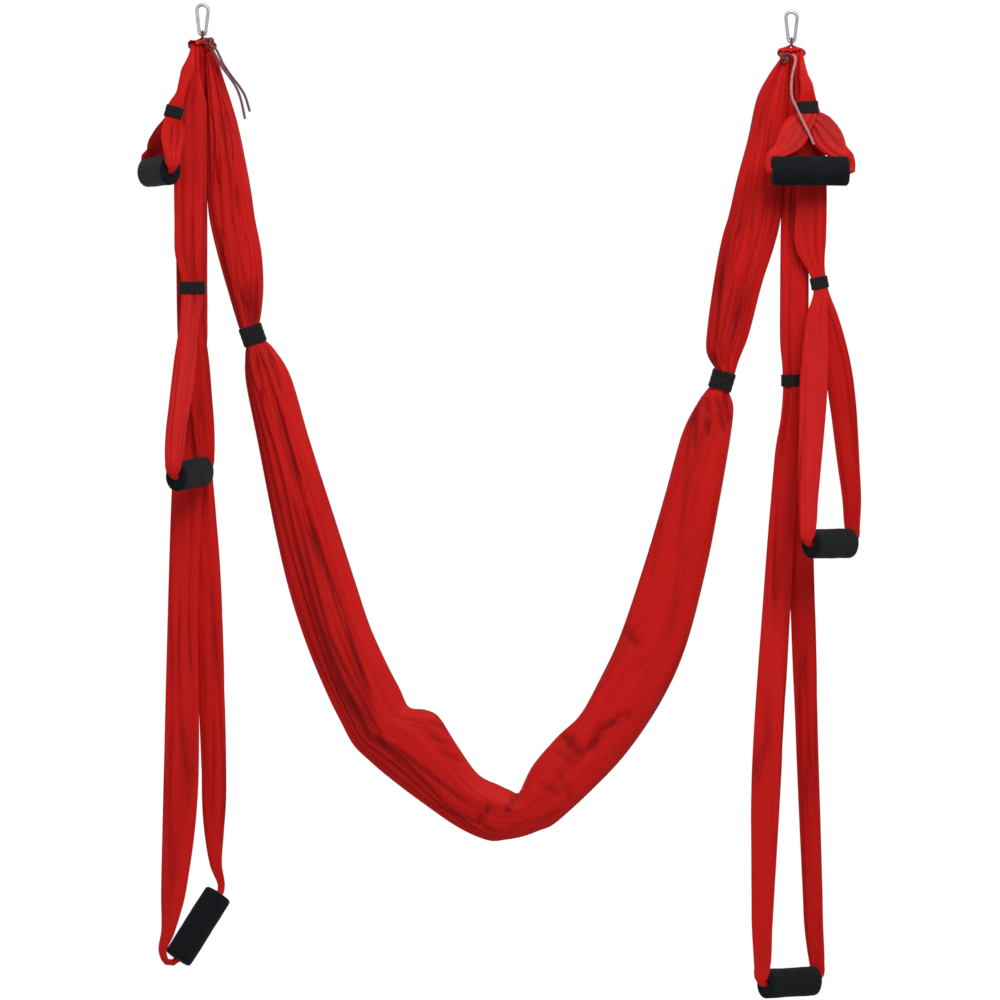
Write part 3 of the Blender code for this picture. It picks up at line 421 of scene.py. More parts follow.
def nylonFinish():
    look = nylonLook
    finish = Finish("red nylon", **look["shader"])
    pattern, across, along = finish.patternParts()
    wave = 2 * math.pi / look["thread"]
    weave = (across * wave).sine() * (along * wave).sine()
    slubs = finish.streaks(pattern, look["slubs"], detail=2.0)
    sheenShadeStreaks = finish.streaks(pattern, look["sheenShadeStreaks"], detail=4.0)
    crinkle = finish.streaks(pattern, look["crinkle"], detail=5.0, roughness=0.55,
                             distortion=0.6)
    crumple = finish.streaks(pattern, look["crumple"], detail=3.0, distortion=1.1)
    # painted streaks along the cloth, lighter and darker, standing in for satin sheen and crease
    # shade
    tone = finish.colours(sheenShadeStreaks, look["deep"], look["bright"])
    tone = finish.colours(look["baseShare"], tone, look["base"])
    # weave and slubs are the yarn's own tone; the crinkle part is painted light and shade on the
    # fine wrinkles that the bump also draws
    toneAndShade = weave * 0.05 + slubs * 0.22 + crinkle * 0.16 - 0.19
    tone = finish.colours(toneAndShade.most(0.0), tone, look["bright"])
    tone = finish.colours((0.0 - toneAndShade).most(0.0), tone, look["deep"])
    # the fold attribute is painted shade, taking the colour towards the valley red, unevenly with
    # the crinkle
    fold = finish.node("Attribute", dict(attribute_name="fold"), output=2)
    mottledShade = fold + (crinkle - 0.5) * fold * look["shadeMottle"]
    finish.feed("Base_Color", finish.colours(mottledShade.clamped(), tone, look["valley"]))
    finish.feed("Roughness", look["roughness"] + crinkle * 0.16 + weave * 0.03 - 0.06)
    height = crinkle * 0.55 + crumple * 1.1 + weave * 0.035 + slubs * 0.05
    finish.bump(height, 0.55, look["relief"])
    return finish.material


webbingLook = dict(
    base=(0.0050, 0.0042, 0.0050), worn=(0.022, 0.018, 0.020), rib=0.0021, thread=0.0011,
    lint=(260.0, 700.0, 1.0), roughness=0.82, relief=0.0005,
    shader=dict(Sheen_Weight=0.05, Sheen_Roughness=0.6, Specular_IOR_Level=0.12))


def webbingFinish():
    look = webbingLook
    finish = Finish("black webbing", **look["shader"])
    pattern, across, along = finish.patternParts()
    wave = 2 * math.pi / look["thread"]
    ribs = abs((along * (math.pi / look["rib"])).sine())
    threads = (across * wave).sine() * (along * wave).sine()
    lint = finish.streaks(pattern, look["lint"], detail=4.0)
    worn = ((lint - 0.52) * 5.0).clamped()
    # lint and worn patches here and there, and lighter along the tops of the ribs
    finish.feed("Base_Color",
                finish.colours(worn * 0.35 + ribs * 0.2, look["base"], look["worn"]))
    finish.feed("Roughness", look["roughness"] + lint * 0.12 - 0.06)
    finish.bump(ribs * 0.8 + threads * 0.35 + lint * 0.4, 0.7, look["relief"])
    return finish.material


foamLook = dict(
    base=(0.0028, 0.0036, 0.0050), dusty=(0.0090, 0.0105, 0.0130), pore=900.0, grain=1600.0,
    dent=70.0, roughness=0.80, relief=0.0007,
    shader=dict(Sheen_Weight=0.02, Sheen_Roughness=0.5, Specular_IOR_Level=0.10))


def foamFinish():
    look = foamLook
    finish = Finish("black foam", **look["shader"])
    spot = finish.node("TexCoord", output=3)
    pores = finish.node("TexVoronoi", Vector=spot, Scale=look["pore"])
    grain = finish.noise(spot, look["grain"])
    dents = finish.noise(spot, look["dent"])
    dust = ((dents - 0.5) * 3.0).clamped()
    pit = 1.0 - (pores * 2.0).least(1.0)
    finish.feed("Base_Color",
                finish.colours(dust * 0.5 + grain * 0.25, look["base"], look["dusty"]))
    finish.feed("Roughness", look["roughness"] + grain * 0.14 - 0.07)
    finish.bump(grain * 0.5 - pit * 0.6 + dents * 1.2, 0.6, look["relief"])
    return finish.material


steelLook = dict(
    base=(0.36, 0.37, 0.39), dull=(0.17, 0.175, 0.19), bloom=160.0,
    scratches=(2600.0, 2600.0, 240.0), roughness=0.30, relief=0.0001)


def steelFinish():
    look = steelLook
    finish = Finish("zinc plated steel", Metallic=1.0)
    spot = finish.node("TexCoord", output=3)
    bloom = finish.noise(spot, look["bloom"], detail=4.0, roughness=0.6)
    scratches = finish.streaks(spot, look["scratches"])
    dull = ((bloom - 0.42) * 2.2).clamped()
    finish.feed("Base_Color", finish.colours(dull, look["base"], look["dull"]))
    finish.feed("Roughness", look["roughness"] + bloom * 0.22 + scratches * 0.12 - 0.08)
    finish.bump(scratches * 0.6 + bloom * 0.3, 0.25, look["relief"])
    return finish.material


# stops of the mottled colours; and how far the braid's gaps are painted towards which colour, as
# shade between the strands
cordLook = dict(
    left=[(0.0, (0.035, 0.040, 0.034)), (0.30, (0.19, 0.20, 0.17)),
          (0.45, (0.36, 0.030, 0.090)), (0.58, (0.10, 0.020, 0.060)),
          (0.72, (0.26, 0.25, 0.25)), (1.0, (0.020, 0.018, 0.022))],
    right=[(0.0, (0.36, 0.030, 0.035)), (0.38, (0.52, 0.16, 0.15)),
           (0.55, (0.66, 0.42, 0.40)), (0.75, (0.40, 0.06, 0.07)), (1.0, (0.62, 0.34, 0.33))],
    wrap=[(0.0, (0.045, 0.012, 0.018)), (0.30, (0.30, 0.014, 0.040)),
          (0.50, (0.42, 0.020, 0.016)), (0.68, (0.14, 0.010, 0.040)),
          (0.84, (0.46, 0.060, 0.050)), (1.0, (0.09, 0.085, 0.075))],
    gapShade=dict(left=(0.5, (0.02, 0.012, 0.014)), right=(0.4, (0.25, 0.03, 0.035)),
              wrap=(0.5, (0.02, 0.012, 0.014))),
    strand=0.0034, turns=4, patch=(3.0, 120.0, 1.0), fibres=(60.0, 1500.0, 1.0),
    roughness=0.78, relief=0.0004, shader=dict(Sheen_Weight=0.2, Specular_IOR_Level=0.3))


def cordFinish(kind):
    look = cordLook
    finish = Finish(kind + " mottled cord", **look["shader"])
    pattern, around, along = finish.patternParts()
    lean = along * (2 * math.pi / look["strand"])
    turn = around * (2 * math.pi * look["turns"])
    braid = (lean + turn).sine() * (lean - turn).sine()
    patch = finish.streaks(pattern, look["patch"], detail=3.0, roughness=0.65)
    fibres = finish.streaks(pattern, look["fibres"], detail=2.0)
    mottle = ((patch - 0.5) * 2.2 + 0.5 + braid * 0.10).clamped()
    tone = finish.node("ValToRGB", dict(stops=look[kind]), Fac=mottle)
    # the braid's gaps are painted darker, as shade between the strands
    depth, gapShadeTone = look["gapShade"][kind]
    finish.feed("Base_Color", finish.colours(abs(braid) * depth + (1 - depth), gapShadeTone, tone))
    finish.feed("Roughness", look["roughness"] + fibres * 0.1 - 0.05)
    finish.bump(abs(braid) * 0.9 + fibres * 0.3, 0.8, look["relief"])
    return finish.material


nylon = nylonFinish()
webbing = webbingFinish()
foam = foamFinish()
steel = steelFinish()
cordMaterial = {kind: cordFinish(kind) for kind in ("left", "right", "wrap")}
print("materials made")


# Loose cord ends, close to the routes of the solids
cordShape = dict(sides=14, tailRows=40, tailThinner=0.97, ringSpacing=0.0018, knotRows=110)
tails = {
    "left_cord_tail_long": dict(side="left", body="sling", route=[
        (0.0134, -0.0173, -0.0638), (0.0160, -0.0183, -0.0672), (0.0203, -0.0193, -0.0745),
        (0.0250, -0.0195, -0.0825), (0.0300, -0.0192, -0.0920), (0.0408, -0.0190, -0.1065),
        (0.0508, -0.0186, -0.1215), (0.0578, -0.0172, -0.1395), (0.0640, -0.0160, -0.1680)]),
    "left_cord_tail_short": dict(side="left", body="sling", route=[
        (0.0146, -0.0198, -0.0606), (0.0176, -0.0213, -0.0622), (0.0222, -0.0220, -0.0672),
        (0.0272, -0.0202, -0.0775), (0.0322, -0.0168, -0.0880), (0.0442, -0.0134, -0.1056),
        (0.0546, -0.0128, -0.1190), (0.0640, -0.0120, -0.1345), (0.0710, -0.0110, -0.1570)]),
    "right_cord_tail": dict(side="right", body="right_short_strap", route=[
        (0.88465, -0.0128, -0.0732), (0.8875, -0.0142, -0.0746), (0.8889, -0.0182, -0.0795),
        (0.8876, -0.0240, -0.0875), (0.8845, -0.0290, -0.1000), (0.8822, -0.0340, -0.1180),
        (0.8830, -0.0375, -0.1370), (0.8900, -0.0405, -0.1540), (0.9000, -0.0450, -0.1760),
        (0.9085, -0.0490, -0.1930), (0.9150, -0.0510, -0.2080)]),
}

for name, tail in tails.items():
    path = [row[0] for row in smoothRows([[Vector(point)] for point in tail["route"]],
                                           cordShape["tailRows"])]
    piece = addPiece(name + "_braid",
                     tube(path, cordRadius * cordShape["tailThinner"], cordShape["sides"]),
                     cordMaterial[tail["side"]], tail["body"], tail["side"] + "_cord", [name])
    tuple(tail["route"][0])
    round(distances(path)[-1], 3)
    [tuple(spot) for spot in path]
print("loose cord ends made")


# Gather cords and their knots: the ring's leg and corner as shares of its half length or its
# shoulder, of the rise over the rod, and of the drop
ringShape = dict(
    leg=[(0.04, 1.0, -0.24), (0.40, 0.98, -0.44), (0.80, 0.60, -0.56)],
    corner=[(0.34, 0.15, -0.76), (0.36, 0.0, -0.94)])


def cordRingPath(side):
    # over the hook's lower rod, out to both sides, back along the run that the sleeves hang on
    rise = rodRadius + touchGap + cordRadius
    base = layout["cordBaseDrop"]
    end = layout["cordBaseLength"] / 2
    shoulder = layout["cordShoulder"]
    rows = []
    for degrees in (0, 45, 90):
        angle = math.radians(degrees)
        rows.append((0.0, -rise * math.sin(angle), rise * math.cos(angle)))
    rows += [(-end * o, -rise * y, base * z) for o, y, z in ringShape["leg"]]
    rows += [(-end - shoulder * o, -rise * y, base * z) for o, y, z in ringShape["corner"]]
    rows += [(-end, 0.0, -base), (-end * 0.5, 0.0, -base)]
    other = [(-o, -y, z) for o, y, z in reversed(rows[1:])]
    rows += [(0.0, 0.0, -base)] + other
    return [place(side, o, y, lowerRodDrop - z) for o, y, z in rows]


knots = {
    "left": dict(offset=-0.0090, drop=0.0115, depth=-0.0139, scale=0.0025),
    "right": dict(offset=-0.0105, drop=0.0235, depth=-0.0140, scale=0.0025),
}


def knotPath(side):
    # a trefoil
    knot, count = knots[side], cordShape["knotRows"]
    centre = place(side, knot["offset"], knot["depth"], lowerRodDrop + knot["drop"])
    path = []
    for i in range(count):
        t = 2 * math.pi * i / count
        shape = Vector((math.sin(t) + 2 * math.sin(2 * t), 1.4 * math.sin(3 * t),
                        math.cos(t) - 2 * math.cos(2 * t)))
        path.append(centre + shape * knot["scale"])
    return path


for side in ("left", "right"):
    rows = smoothLoop([[spot] for spot in cordRingPath(side)], cordShape["ringSpacing"])
    for piece, node, path in (("cord", "ring", [row[0] for row in rows]),
                              ("knot", "knot", knotPath(side))):
        made = addPiece(side + "_gather_" + piece,
                        tube(path, cordRadius, cordShape["sides"], closed=True),
                        cordMaterial["wrap"], "sling", side + "_cord", [side + "_cord_" + node])
        piece == "cord"
print("gather cords made")


# Hem sleeves, the sewn tunnels that the gather cord runs through
sleeve = dict(pleats=5, fold=0.0009, around=56, along=48, boreRows=8, lip=0.0016,
              ripple=0.0008)


def sleeveMesh(side):
    start = place(side, -layout["cordBaseLength"] / 2 + touchGap, 0.0, baseDrop)
    bore = cordRadius + touchGap
    length = layout["sleeveLength"]
    outline = []
    outerCount = sleeve["along"] - sleeve["boreRows"]
    for k in range(outerCount):
        share = k / (outerCount - 1)
        lip = 1 - ease(min(share, 1 - share) * 9)
        pleat = 0.5 - 0.5 * math.cos(2 * math.pi * sleeve["pleats"] * share)
        outline.append((length * share,
                        sleeveOuter - sleeve["fold"] * pleat - sleeve["lip"] * lip))
    for k in range(sleeve["boreRows"]):
        outline.append((length * (1 - k / (sleeve["boreRows"] - 1)), bore))
    outward = xAxis * outwardOf[side]

    def spotAt(i, j):
        angle = 2 * math.pi * j / sleeve["around"]
        along, radius = outline[i]
        if i < outerCount:
            ripple = wobble(along * 420, math.cos(angle) * 2.2, math.sin(angle) * 2.2)
            radius += sleeve["ripple"] * ripple - 0.0003
        radial = yAxis * math.sin(angle) + zAxis * math.cos(angle)
        return start + outward * along + radial * radius

    def uvAt(i, j):
        return (sleeveOuter * 2 * math.pi * j / sleeve["around"], i * length / outerCount)

    return shapedGrid(sleeve["along"], sleeve["around"], spotAt, uvAt, True, True)


for side in ("left", "right"):
    addPiece(side + "_hem_tunnel", sleeveMesh(side), nylon, "sling", "nylon",
                         [side + "_hem_sleeve"])
print("hem sleeves made")


# Gathered edge of the cloth, bunched over the cord and the tops of the straps
frill = dict(
    left=dict(start=-0.0120, end=0.0222, ruffle=0.0010, pleats=4, rise=0.0106, hump=0.0022),
    right=dict(start=-0.0205, end=0.0140, ruffle=0.0015, pleats=7, rise=0.0102, hump=0.0010),
    along=64, around=40, reach=62.0, shortReach=38.0, shortStrap=0.0085, shortFade=0.003,
    uneven=0.16, humpAt=34, humpWidth=20, lip=0.0028, sway=0.0012, width=0.035)


def frillMesh(side):
    shape = frill[side]
    outward = xAxis * outwardOf[side]
    axisStart = place(side, shape["start"], 0.0, baseDrop)
    length = shape["end"] - shape["start"]

    def spotAt(i, j):
        share = i / frill["along"]
        around = 2 * j / frill["around"] - 1
        wave = wobble(share * 9.0, around * 1.3, 3.0 + len(side))
        edge = 1 + frill["uneven"] * wobble(share * 6.0, around, 9.0)
        # less of it in front of the short strap, which swings up highest
        reach = frill["reach"]
        if around > 0:
            past = shape["start"] + length * share - frill["shortStrap"]
            reach = mix(reach, frill["shortReach"], ease(past / frill["shortFade"]))
        degrees = around * reach * edge
        angle = math.radians(degrees)
        hump = math.exp(-((abs(degrees) - frill["humpAt"]) / frill["humpWidth"]) ** 2)
        lip = 1 - ease(min(share, 1 - share) * 7)
        pleat = abs(math.sin(math.pi * (shape["pleats"] * share + 0.6 * wave))) ** 0.6 - 0.5
        radius = shape["rise"] + shape["hump"] * hump - frill["lip"] * lip
        radius += shape["ruffle"] * (pleat + 1.2 * wave + 0.25)
        radial = zAxis * math.cos(angle) - yAxis * math.sin(angle)
        return axisStart + outward * (length * share + frill["sway"] * wave) + radial * radius

    def uvAt(i, j):
        return (i * length / frill["along"], frill["width"] * j / frill["around"])

    bm = shapedGrid(frill["along"], frill["around"], spotAt, uvAt)
    bmesh.ops.recalc_face_normals(bm, faces=bm.faces[:])
    return bm


for side in ("left", "right"):
    addPiece(side + "_gathered_frill", frillMesh(side), nylon, "sling", "nylon", [])
print("gathered edges made")


# Hammock cloth: a long sheet folded to and fro, its layers nested in one strand. Some folds
# turn on the seat: to the left half, the right half and back, from these shares of the seat
hammock = dict(
    flat=(1.5, 2.5), depth=0.044, bandHeight=0.028, mouthShare=0.30, mouthDrop=0.72,
    rows=(62, 212, 66), squareness=2.3, wander=0.07, loose=(1, 3, 5, 16, 18, 20), swell=0.15,
    # the second last number on the next line is the painted shade of the layers hidden inside the
    # strand; creases as deep as the last one are painted fully in shade
    ripple=0.0011, pleat=0.0074, narrow=0.030, hiddenLayerShade=0.25, creaseShade=0.0044,
    folds=[-0.97, 0.34, -0.50, 0.60, -0.20, 0.82, -0.70, 0.975, -0.98, 0.98, -0.985, 0.97,
           -0.985, 0.985, -0.97, 0.93, -0.98, 0.80, -0.90, 0.95, -0.62],
    points=[40, 4, 20, 4, 18, 4, 12, 4, 4, 4, 4, 4, 4, 4, 4, 4, 14, 4, 18, 28],
    turns={1: (0.34, 0.935, 0.72), 3: (0.60, 0.957, 0.86), 5: (0.82, 0.972, 0.94)},
    turnStarts=((0.0, 9), (0.40, 6), (0.97, 20)), calm=(0.38, 0.90), nearBands=(0.16, 0.13),
    noise=dict(line=(1.9, 1.9, 21.0), thin=(5.2, 5.0, 31.0), patch=(1.5, 6.0, 51.0),
               swell=(1.6, 7.0, 2.0), ripple=(6.0, 11.0, 6.0)))

# outer and inner edge in pixels and share of the depth, from the left top to the right top
leftTopPixels = [
    (204.6, 62, 218.5, 62, 0.40), (205.5, 80, 223.5, 78, 0.48), (206.2, 119, 236.5, 119, 0.54),
    (206.4, 160, 245.5, 160, 0.54), (206.9, 194, 251.5, 193, 0.54), (209.4, 219.5, 255, 218, 0.54),
    (217.8, 256, 261.6, 253, 0.54),
    (228, 292, 263.5, 286, 0.52), (236, 319, 261.5, 312, 0.48)]
leftBandPixels = (242.6, 338.5, 262.8, 331.5, 0.44)
seatPixels = [
    (245, 358, 275, 350, 0.54), (246, 384, 291, 377, 0.66), (258, 444, 309, 438, 0.76),
    (274.3, 527, 335, 519, 0.84), (289, 590, 356, 584, 0.90), (306, 643, 370, 626, 0.94),
    (326, 692, 387, 664, 0.98), (341, 723, 400, 689, 1.0), (353, 745, 409, 707, 1.0),
    (368, 760, 425, 709.5, 1.0), (388, 777, 439, 717, 1.0),
    (424, 804, 457, 745, 1.0), (459, 828, 478, 774, 1.0), (488, 840.7, 499, 785, 1.0),
    (506, 840, 510, 790, 1.0), (524, 836.5, 518.5, 793, 1.0), (540, 830.5, 525, 780, 1.0),
    (556, 823, 534.5, 763, 1.0), (592, 790, 558, 736, 1.0),
    (628, 751, 580, 715, 1.0), (662, 700, 599, 681, 0.98), (686, 646, 620, 636, 0.92),
    (706, 570, 644, 565, 0.84), (719, 504, 664, 498, 0.78), (730, 440, 682, 434, 0.68),
    (733.5, 408, 698, 402, 0.56)]
rightBandPixels = (732, 383.5, 712, 377.5, 0.44)
rightTopPixels = [
    (739, 360, 706.5, 352, 0.50), (749, 334, 707.5, 326, 0.54), (762, 284, 714.5, 277, 0.54),
    (774, 247, 721.5, 240, 0.54), (780.8, 218, 729, 214, 0.54), (783.4, 181, 737, 179, 0.54),
    (785.9, 140, 747.5, 140, 0.54), (788.2, 100, 756.5, 99, 0.52), (789.4, 74, 768, 76, 0.46)]


def bandFrame(pixels):
    outer, inner = pixelPlace(*pixels[:2]), pixelPlace(*pixels[2:4])
    across = (inner - outer).normalized()
    return (outer + inner) / 2, across, across.cross(yAxis).normalized()


def mouthRow(side):
    drop = baseDrop + sleeveOuter * hammock["mouthDrop"]
    inner = -layout["cordBaseLength"] / 2 + touchGap
    outer = inner + layout["sleeveLength"]
    return [place(side, outer, 0.0, drop), place(side, inner, 0.0, drop), hammock["mouthShare"]]


def hammockRows():
    # centre, half width towards the outer edge, and half depth of each section
    def onSpan(pixels):
        return [[pixelPlace(*row[:2]), pixelPlace(*row[2:4]), row[4]] for row in pixels]

    def bandEdge(pixels, way):
        outer, inner, depth = onSpan([pixels])[0]
        shift = bandFrame(pixels)[2] * (way * (hammock["bandHeight"] / 2 + clothGap))
        return [outer + shift, inner + shift, depth]

    stretches = [
        [mouthRow("left")] + onSpan(leftTopPixels) + [bandEdge(leftBandPixels, 1)],
        [bandEdge(leftBandPixels, -1)] + onSpan(seatPixels) + [bandEdge(rightBandPixels, 1)],
        [bandEdge(rightBandPixels, -1)] + onSpan(rightTopPixels) + [mouthRow("right")],
    ]
    found = []
    for rows, count in zip(stretches, hammock["rows"]):
        centred = [[(outer + inner) / 2, (outer - inner) / 2, depth * hammock["depth"] / 2]
                   for outer, inner, depth in rows]
        read = smoothRows(centred, count)
        if found:
            last = found[-1]
            for share in (0.25, 0.5, 0.75):
                found.append([mix(a, b, share) for a, b in zip(last, read[0])])
        found += read
    return found


def foldColumns(points):
    # of each point: layer, how far along it, and how far round the fold to the next one
    columns = []
    for layer, count in enumerate(points):
        columns += [(layer, i / (count - 1), 0.0) for i in range(count)]
        if layer < len(points) - 1:
            columns += [(layer, 1.0, i / 4) for i in (1, 2, 3)]
    return columns


def foldSpot(column, folds, squareness):
    # a point of the folded section: across from -1 to 1, through from -1 at the back to 1
    layer, share, around = column
    count = len(folds) - 1
    level = 1 - 2 * layer / (count - 1)
    across = mix(folds[layer], folds[layer + 1], share)
    if around:
        level -= 2 / (count - 1) * (0.5 - 0.5 * math.cos(math.pi * around))
        across += math.copysign(0.016, folds[layer + 1]) * math.sin(math.pi * around)
    across = max(min(across, 1.0), -1.0)
    height = max(1 - abs(across) ** squareness, 0.0) ** (1 / squareness)
    return across, level * max(height, 0.16), level


# from and to in pixels, width in pixels, depth in metres
creases = [
    (308, 517, 368, 693, 3.2, 0.0042), (292, 500, 330, 640, 2.6, 0.0026),
    (282, 430, 318, 560, 2.6, 0.0030), (272, 395, 300, 480, 2.4, 0.0028),
    (262, 360, 285, 430, 2.2, 0.0030), (256, 356, 262, 400, 2.2, 0.0028),
    (268, 352, 281, 392, 2.2, 0.0026), (330, 640, 382, 740, 2.8, 0.0030),
    (345, 690, 402, 768, 2.6, 0.0026), (428, 722, 446, 728, 2.4, 0.0026),
    (430, 737, 452, 745, 2.2, 0.0022), (440, 752, 462, 761, 2.2, 0.0022),
    (518, 792, 506, 812, 3.0, 0.0040), (492, 803, 478, 822, 3.0, 0.0036),
    (392, 745, 470, 806, 3.0, 0.0026), (630, 713, 606, 727, 4.0, 0.0030),
    (614, 722, 603, 729, 5.0, 0.0008), (603, 724, 590, 750, 4.6, 0.0029),
    (598, 738, 586, 752, 3.4, 0.0014), (562, 734, 582, 756, 4.6, 0.0034),
    (574, 738, 566, 752, 4.0, 0.0012), (575, 764, 558, 752, 3.4, 0.0022),
    (622, 628, 638, 646, 4.2, 0.0028), (648, 657, 638, 670, 3.0, 0.0016),
    (436, 805, 498, 833, 3.2, 0.0024), (506, 831, 558, 812, 3.2, 0.0018),
    (650, 722, 698, 612, 2.4, 0.0018), (640, 560, 668, 470, 2.6, 0.0012),
    (662, 520, 650, 575, 2.4, 0.0012), (600, 690, 640, 622, 3.0, 0.0010),
    (690, 420, 679, 560, 3.0, 0.0018), (697, 400, 694, 450, 2.4, 0.0034),
    (706, 400, 708, 436, 2.4, 0.0034), (716, 398, 724, 432, 2.4, 0.0034),
    (724, 396, 729, 424, 2.2, 0.0028), (700, 392, 690, 428, 2.2, 0.0024),
    (683, 560, 668, 640, 3.2, 0.0016), (560, 795, 540, 782, 3.0, 0.0024),
    (572, 800, 556, 770, 2.6, 0.0020), (212, 115, 214, 150, 1.8, 0.0022),
    (219, 112, 222, 140, 1.8, 0.0020), (226, 116, 232, 160, 1.8, 0.0022),
    (236, 188, 238, 216, 2.2, 0.0026), (216, 160, 222, 250, 2.2, 0.0022),
    (228, 150, 238, 300, 2.0, 0.0018), (246, 240, 252, 318, 2.2, 0.0026),
    (240, 290, 249, 322, 2.0, 0.0026), (256, 280, 256, 320, 2.0, 0.0022),
    (748, 170, 735, 250, 2.2, 0.0024), (762, 110, 748, 260, 2.0, 0.0022),
    (768, 200, 744, 320, 2.2, 0.0026), (756, 250, 728, 350, 2.4, 0.0030),
    (744, 300, 722, 358, 2.2, 0.0026), (722, 270, 715, 345, 2.2, 0.0026),
    (734, 280, 718, 352, 2.0, 0.0022), (772, 120, 764, 200, 2.0, 0.0020),
    (712, 350, 716, 366, 2.4, 0.0030), (724, 345, 722, 366, 2.0, 0.0028),
    (703, 352, 712, 362, 2.4, 0.0030)]
creaseShape = dict(pixel=0.0015, reach=(0.14, 0.32), fade=0.15)
creaseLines = [(pixelPlace(x0, y0), pixelPlace(x1, y1), width * creaseShape["pixel"], depth)
               for x0, y0, x1, y1, width, depth in creases]


def creaseDepth(spot):
    # how far the front is drawn in at a place, by the creases that pass it
    depth, past = 0.0, creaseShape["fade"]
    wide, high = creaseShape["reach"]
    for start, end, width, full in creaseLines:
        if abs(spot.x - start.x) > wide or abs(spot.z - start.z) > high:
            continue
        line = end - start
        flat = Vector((spot.x, 0.0, spot.z)) - start
        share = min(max(flat.dot(line) / line.length_squared, -past), 1 + past)
        away = (flat - line * share).length
        if away < 3 * width:
            fade = ease(min(share + past, 1 + past - share) * 3.3)
            depth += full * fade * math.exp(-(away / width) ** 2)
    return depth


def noiseAt(kind, across, distance, shift=0.0):
    # how fine it is across and along the cloth, and where it starts
    m, n, start = hammock["noise"][kind]
    return wobble(across * m, distance * n, start + shift)


def hammockMesh():
    rows = hammockRows()
    columns = foldColumns(hammock["points"])
    layers = len(hammock["points"])
    wide = hammock["flat"][0] / (len(columns) - 1)
    travelled = distances([row[0] for row in rows])
    seatStart = travelled[hammock["rows"][0] + 2]
    seatEnd = travelled[-hammock["rows"][2] - 2]
    foldRows, seatShares = [], []
    for distance in travelled:
        turned = []
        seatShare = (distance - seatStart) / (seatEnd - seatStart)
        seatShares.append(seatShare)
        for index, base in enumerate(hammock["folds"]):
            if index in hammock["turns"]:
                base = hammock["turns"][index][-1]
                for goal, (start, pace) in zip(hammock["turns"][index], hammock["turnStarts"]):
                    base = mix(base, goal, ease((seatShare - start) * pace))
            drift = wobble(distance * 3.1, index * 7.3, 0.5)
            drift += 0.5 * wobble(distance * 9.0, index * 3.7, 4.5)
            reach = hammock["wander"] * (1.8 if index in hammock["loose"] else 0.3)
            turned.append(max(min(base + drift * reach, 0.985), -0.985))
        foldRows.append(turned)

    paintedShadeOf = {}

    def pleatAt(across, distance, seatShare, back):
        # creases that meander along the strand, fade in and out, and are few on the smooth half
        # of the seat; also the painted shade there, deeper in a crease and on the outer half
        line = noiseAt("line", across, distance, back)
        thin = noiseAt("thin", across, distance, back)
        patch = mix(0.25, 1.15, ease(0.5 + 1.8 * noiseAt("patch", across, distance)))
        leftReach, rightReach = hammock["nearBands"]
        near = min(math.exp(-(seatShare / leftReach) ** 2)
                   + math.exp(-((1 - seatShare) / rightReach) ** 2), 1.0)
        calmFrom, calmTo = hammock["calm"]
        calm = ease((seatShare - calmFrom) * 8) * (1 - ease((seatShare - calmTo) * 8))
        seated = 0 < seatShare < 1
        outer = 1.0 if back or not seated else ease(across * 0.9 + 0.45)
        big = valley(line, narrow=3.2, rounding=0.6) * patch
        small = valley(thin, narrow=3.0, rounding=0.7) * patch
        big *= (0.15 + 0.85 * outer) * (1 - 0.90 * calm)
        big *= (1 - 0.5 * near) * (1.0 if seated else 0.75)
        small *= 0.05 + 0.10 * outer * (1 - calm) + 0.24 * near
        shaded = 0.16 * outer * (1 - calm) * (1.0 if seated else 0.3)
        drawn = hammock["pleat"] * (0.3 * (1 - calm) - big - small)
        return drawn, 0.60 * big + 1.6 * small + shaded * patch

    def spotAt(i, j):
        centre, reach, depth = rows[j]
        across, through, level = foldSpot(columns[i], foldRows[j], hammock["squareness"])
        front = max(level, 0.0)
        rear = max(-level, 0.0)
        distance = travelled[j]
        swell = noiseAt("swell", across, distance) * front
        swell -= noiseAt("swell", across, distance, 10.0) * rear
        ripple = noiseAt("ripple", across, distance, 6.0 * (level < 0))
        out = through + swell * hammock["swell"]
        side = reach.normalized()
        spot = centre + side * (across * reach.length) - yAxis * (depth * out)
        spot -= yAxis * (hammock["ripple"] * ripple * (front - rear))
        # painted shade: a little on the layers hidden inside, more in the creases of the front and
        # back ones and in the drawn creases
        fold = hammock["hiddenLayerShade"]
        if abs(level) > 0.3:
            narrow = min(reach.length / hammock["narrow"], 1.0)
            pleat, fold = pleatAt(across, distance, seatShares[j], 0.0 if level > 0 else 9.0)
            spot -= yAxis * (pleat * narrow * (front - rear))
        if level > 0.45:
            crease = creaseDepth(spot)
            spot += yAxis * (crease * level)
            fold += crease / hammock["creaseShade"]
        paintedShadeOf[i, j] = min(fold, 1.0)
        return spot

    def uvAt(i, j):
        return (i * wide, travelled[j])

    return shapedGrid(len(columns) - 1, len(rows) - 1, spotAt, uvAt,
                      paintedShadeAt=lambda i, j: paintedShadeOf[i, j])


cloth = addPiece("hammock_nylon", hammockMesh(), nylon, "sling", "nylon", ["hammock_cloth"])
print("hammock cloth made")


# Bands of elastic webbing, wound round the gathered cloth in flat rows
elastic = dict(around=72, section=12, overlap=0.0003, squareness=0.42, edge=0.6, face=0.7,
               waver=0.04, sway=0.0004)


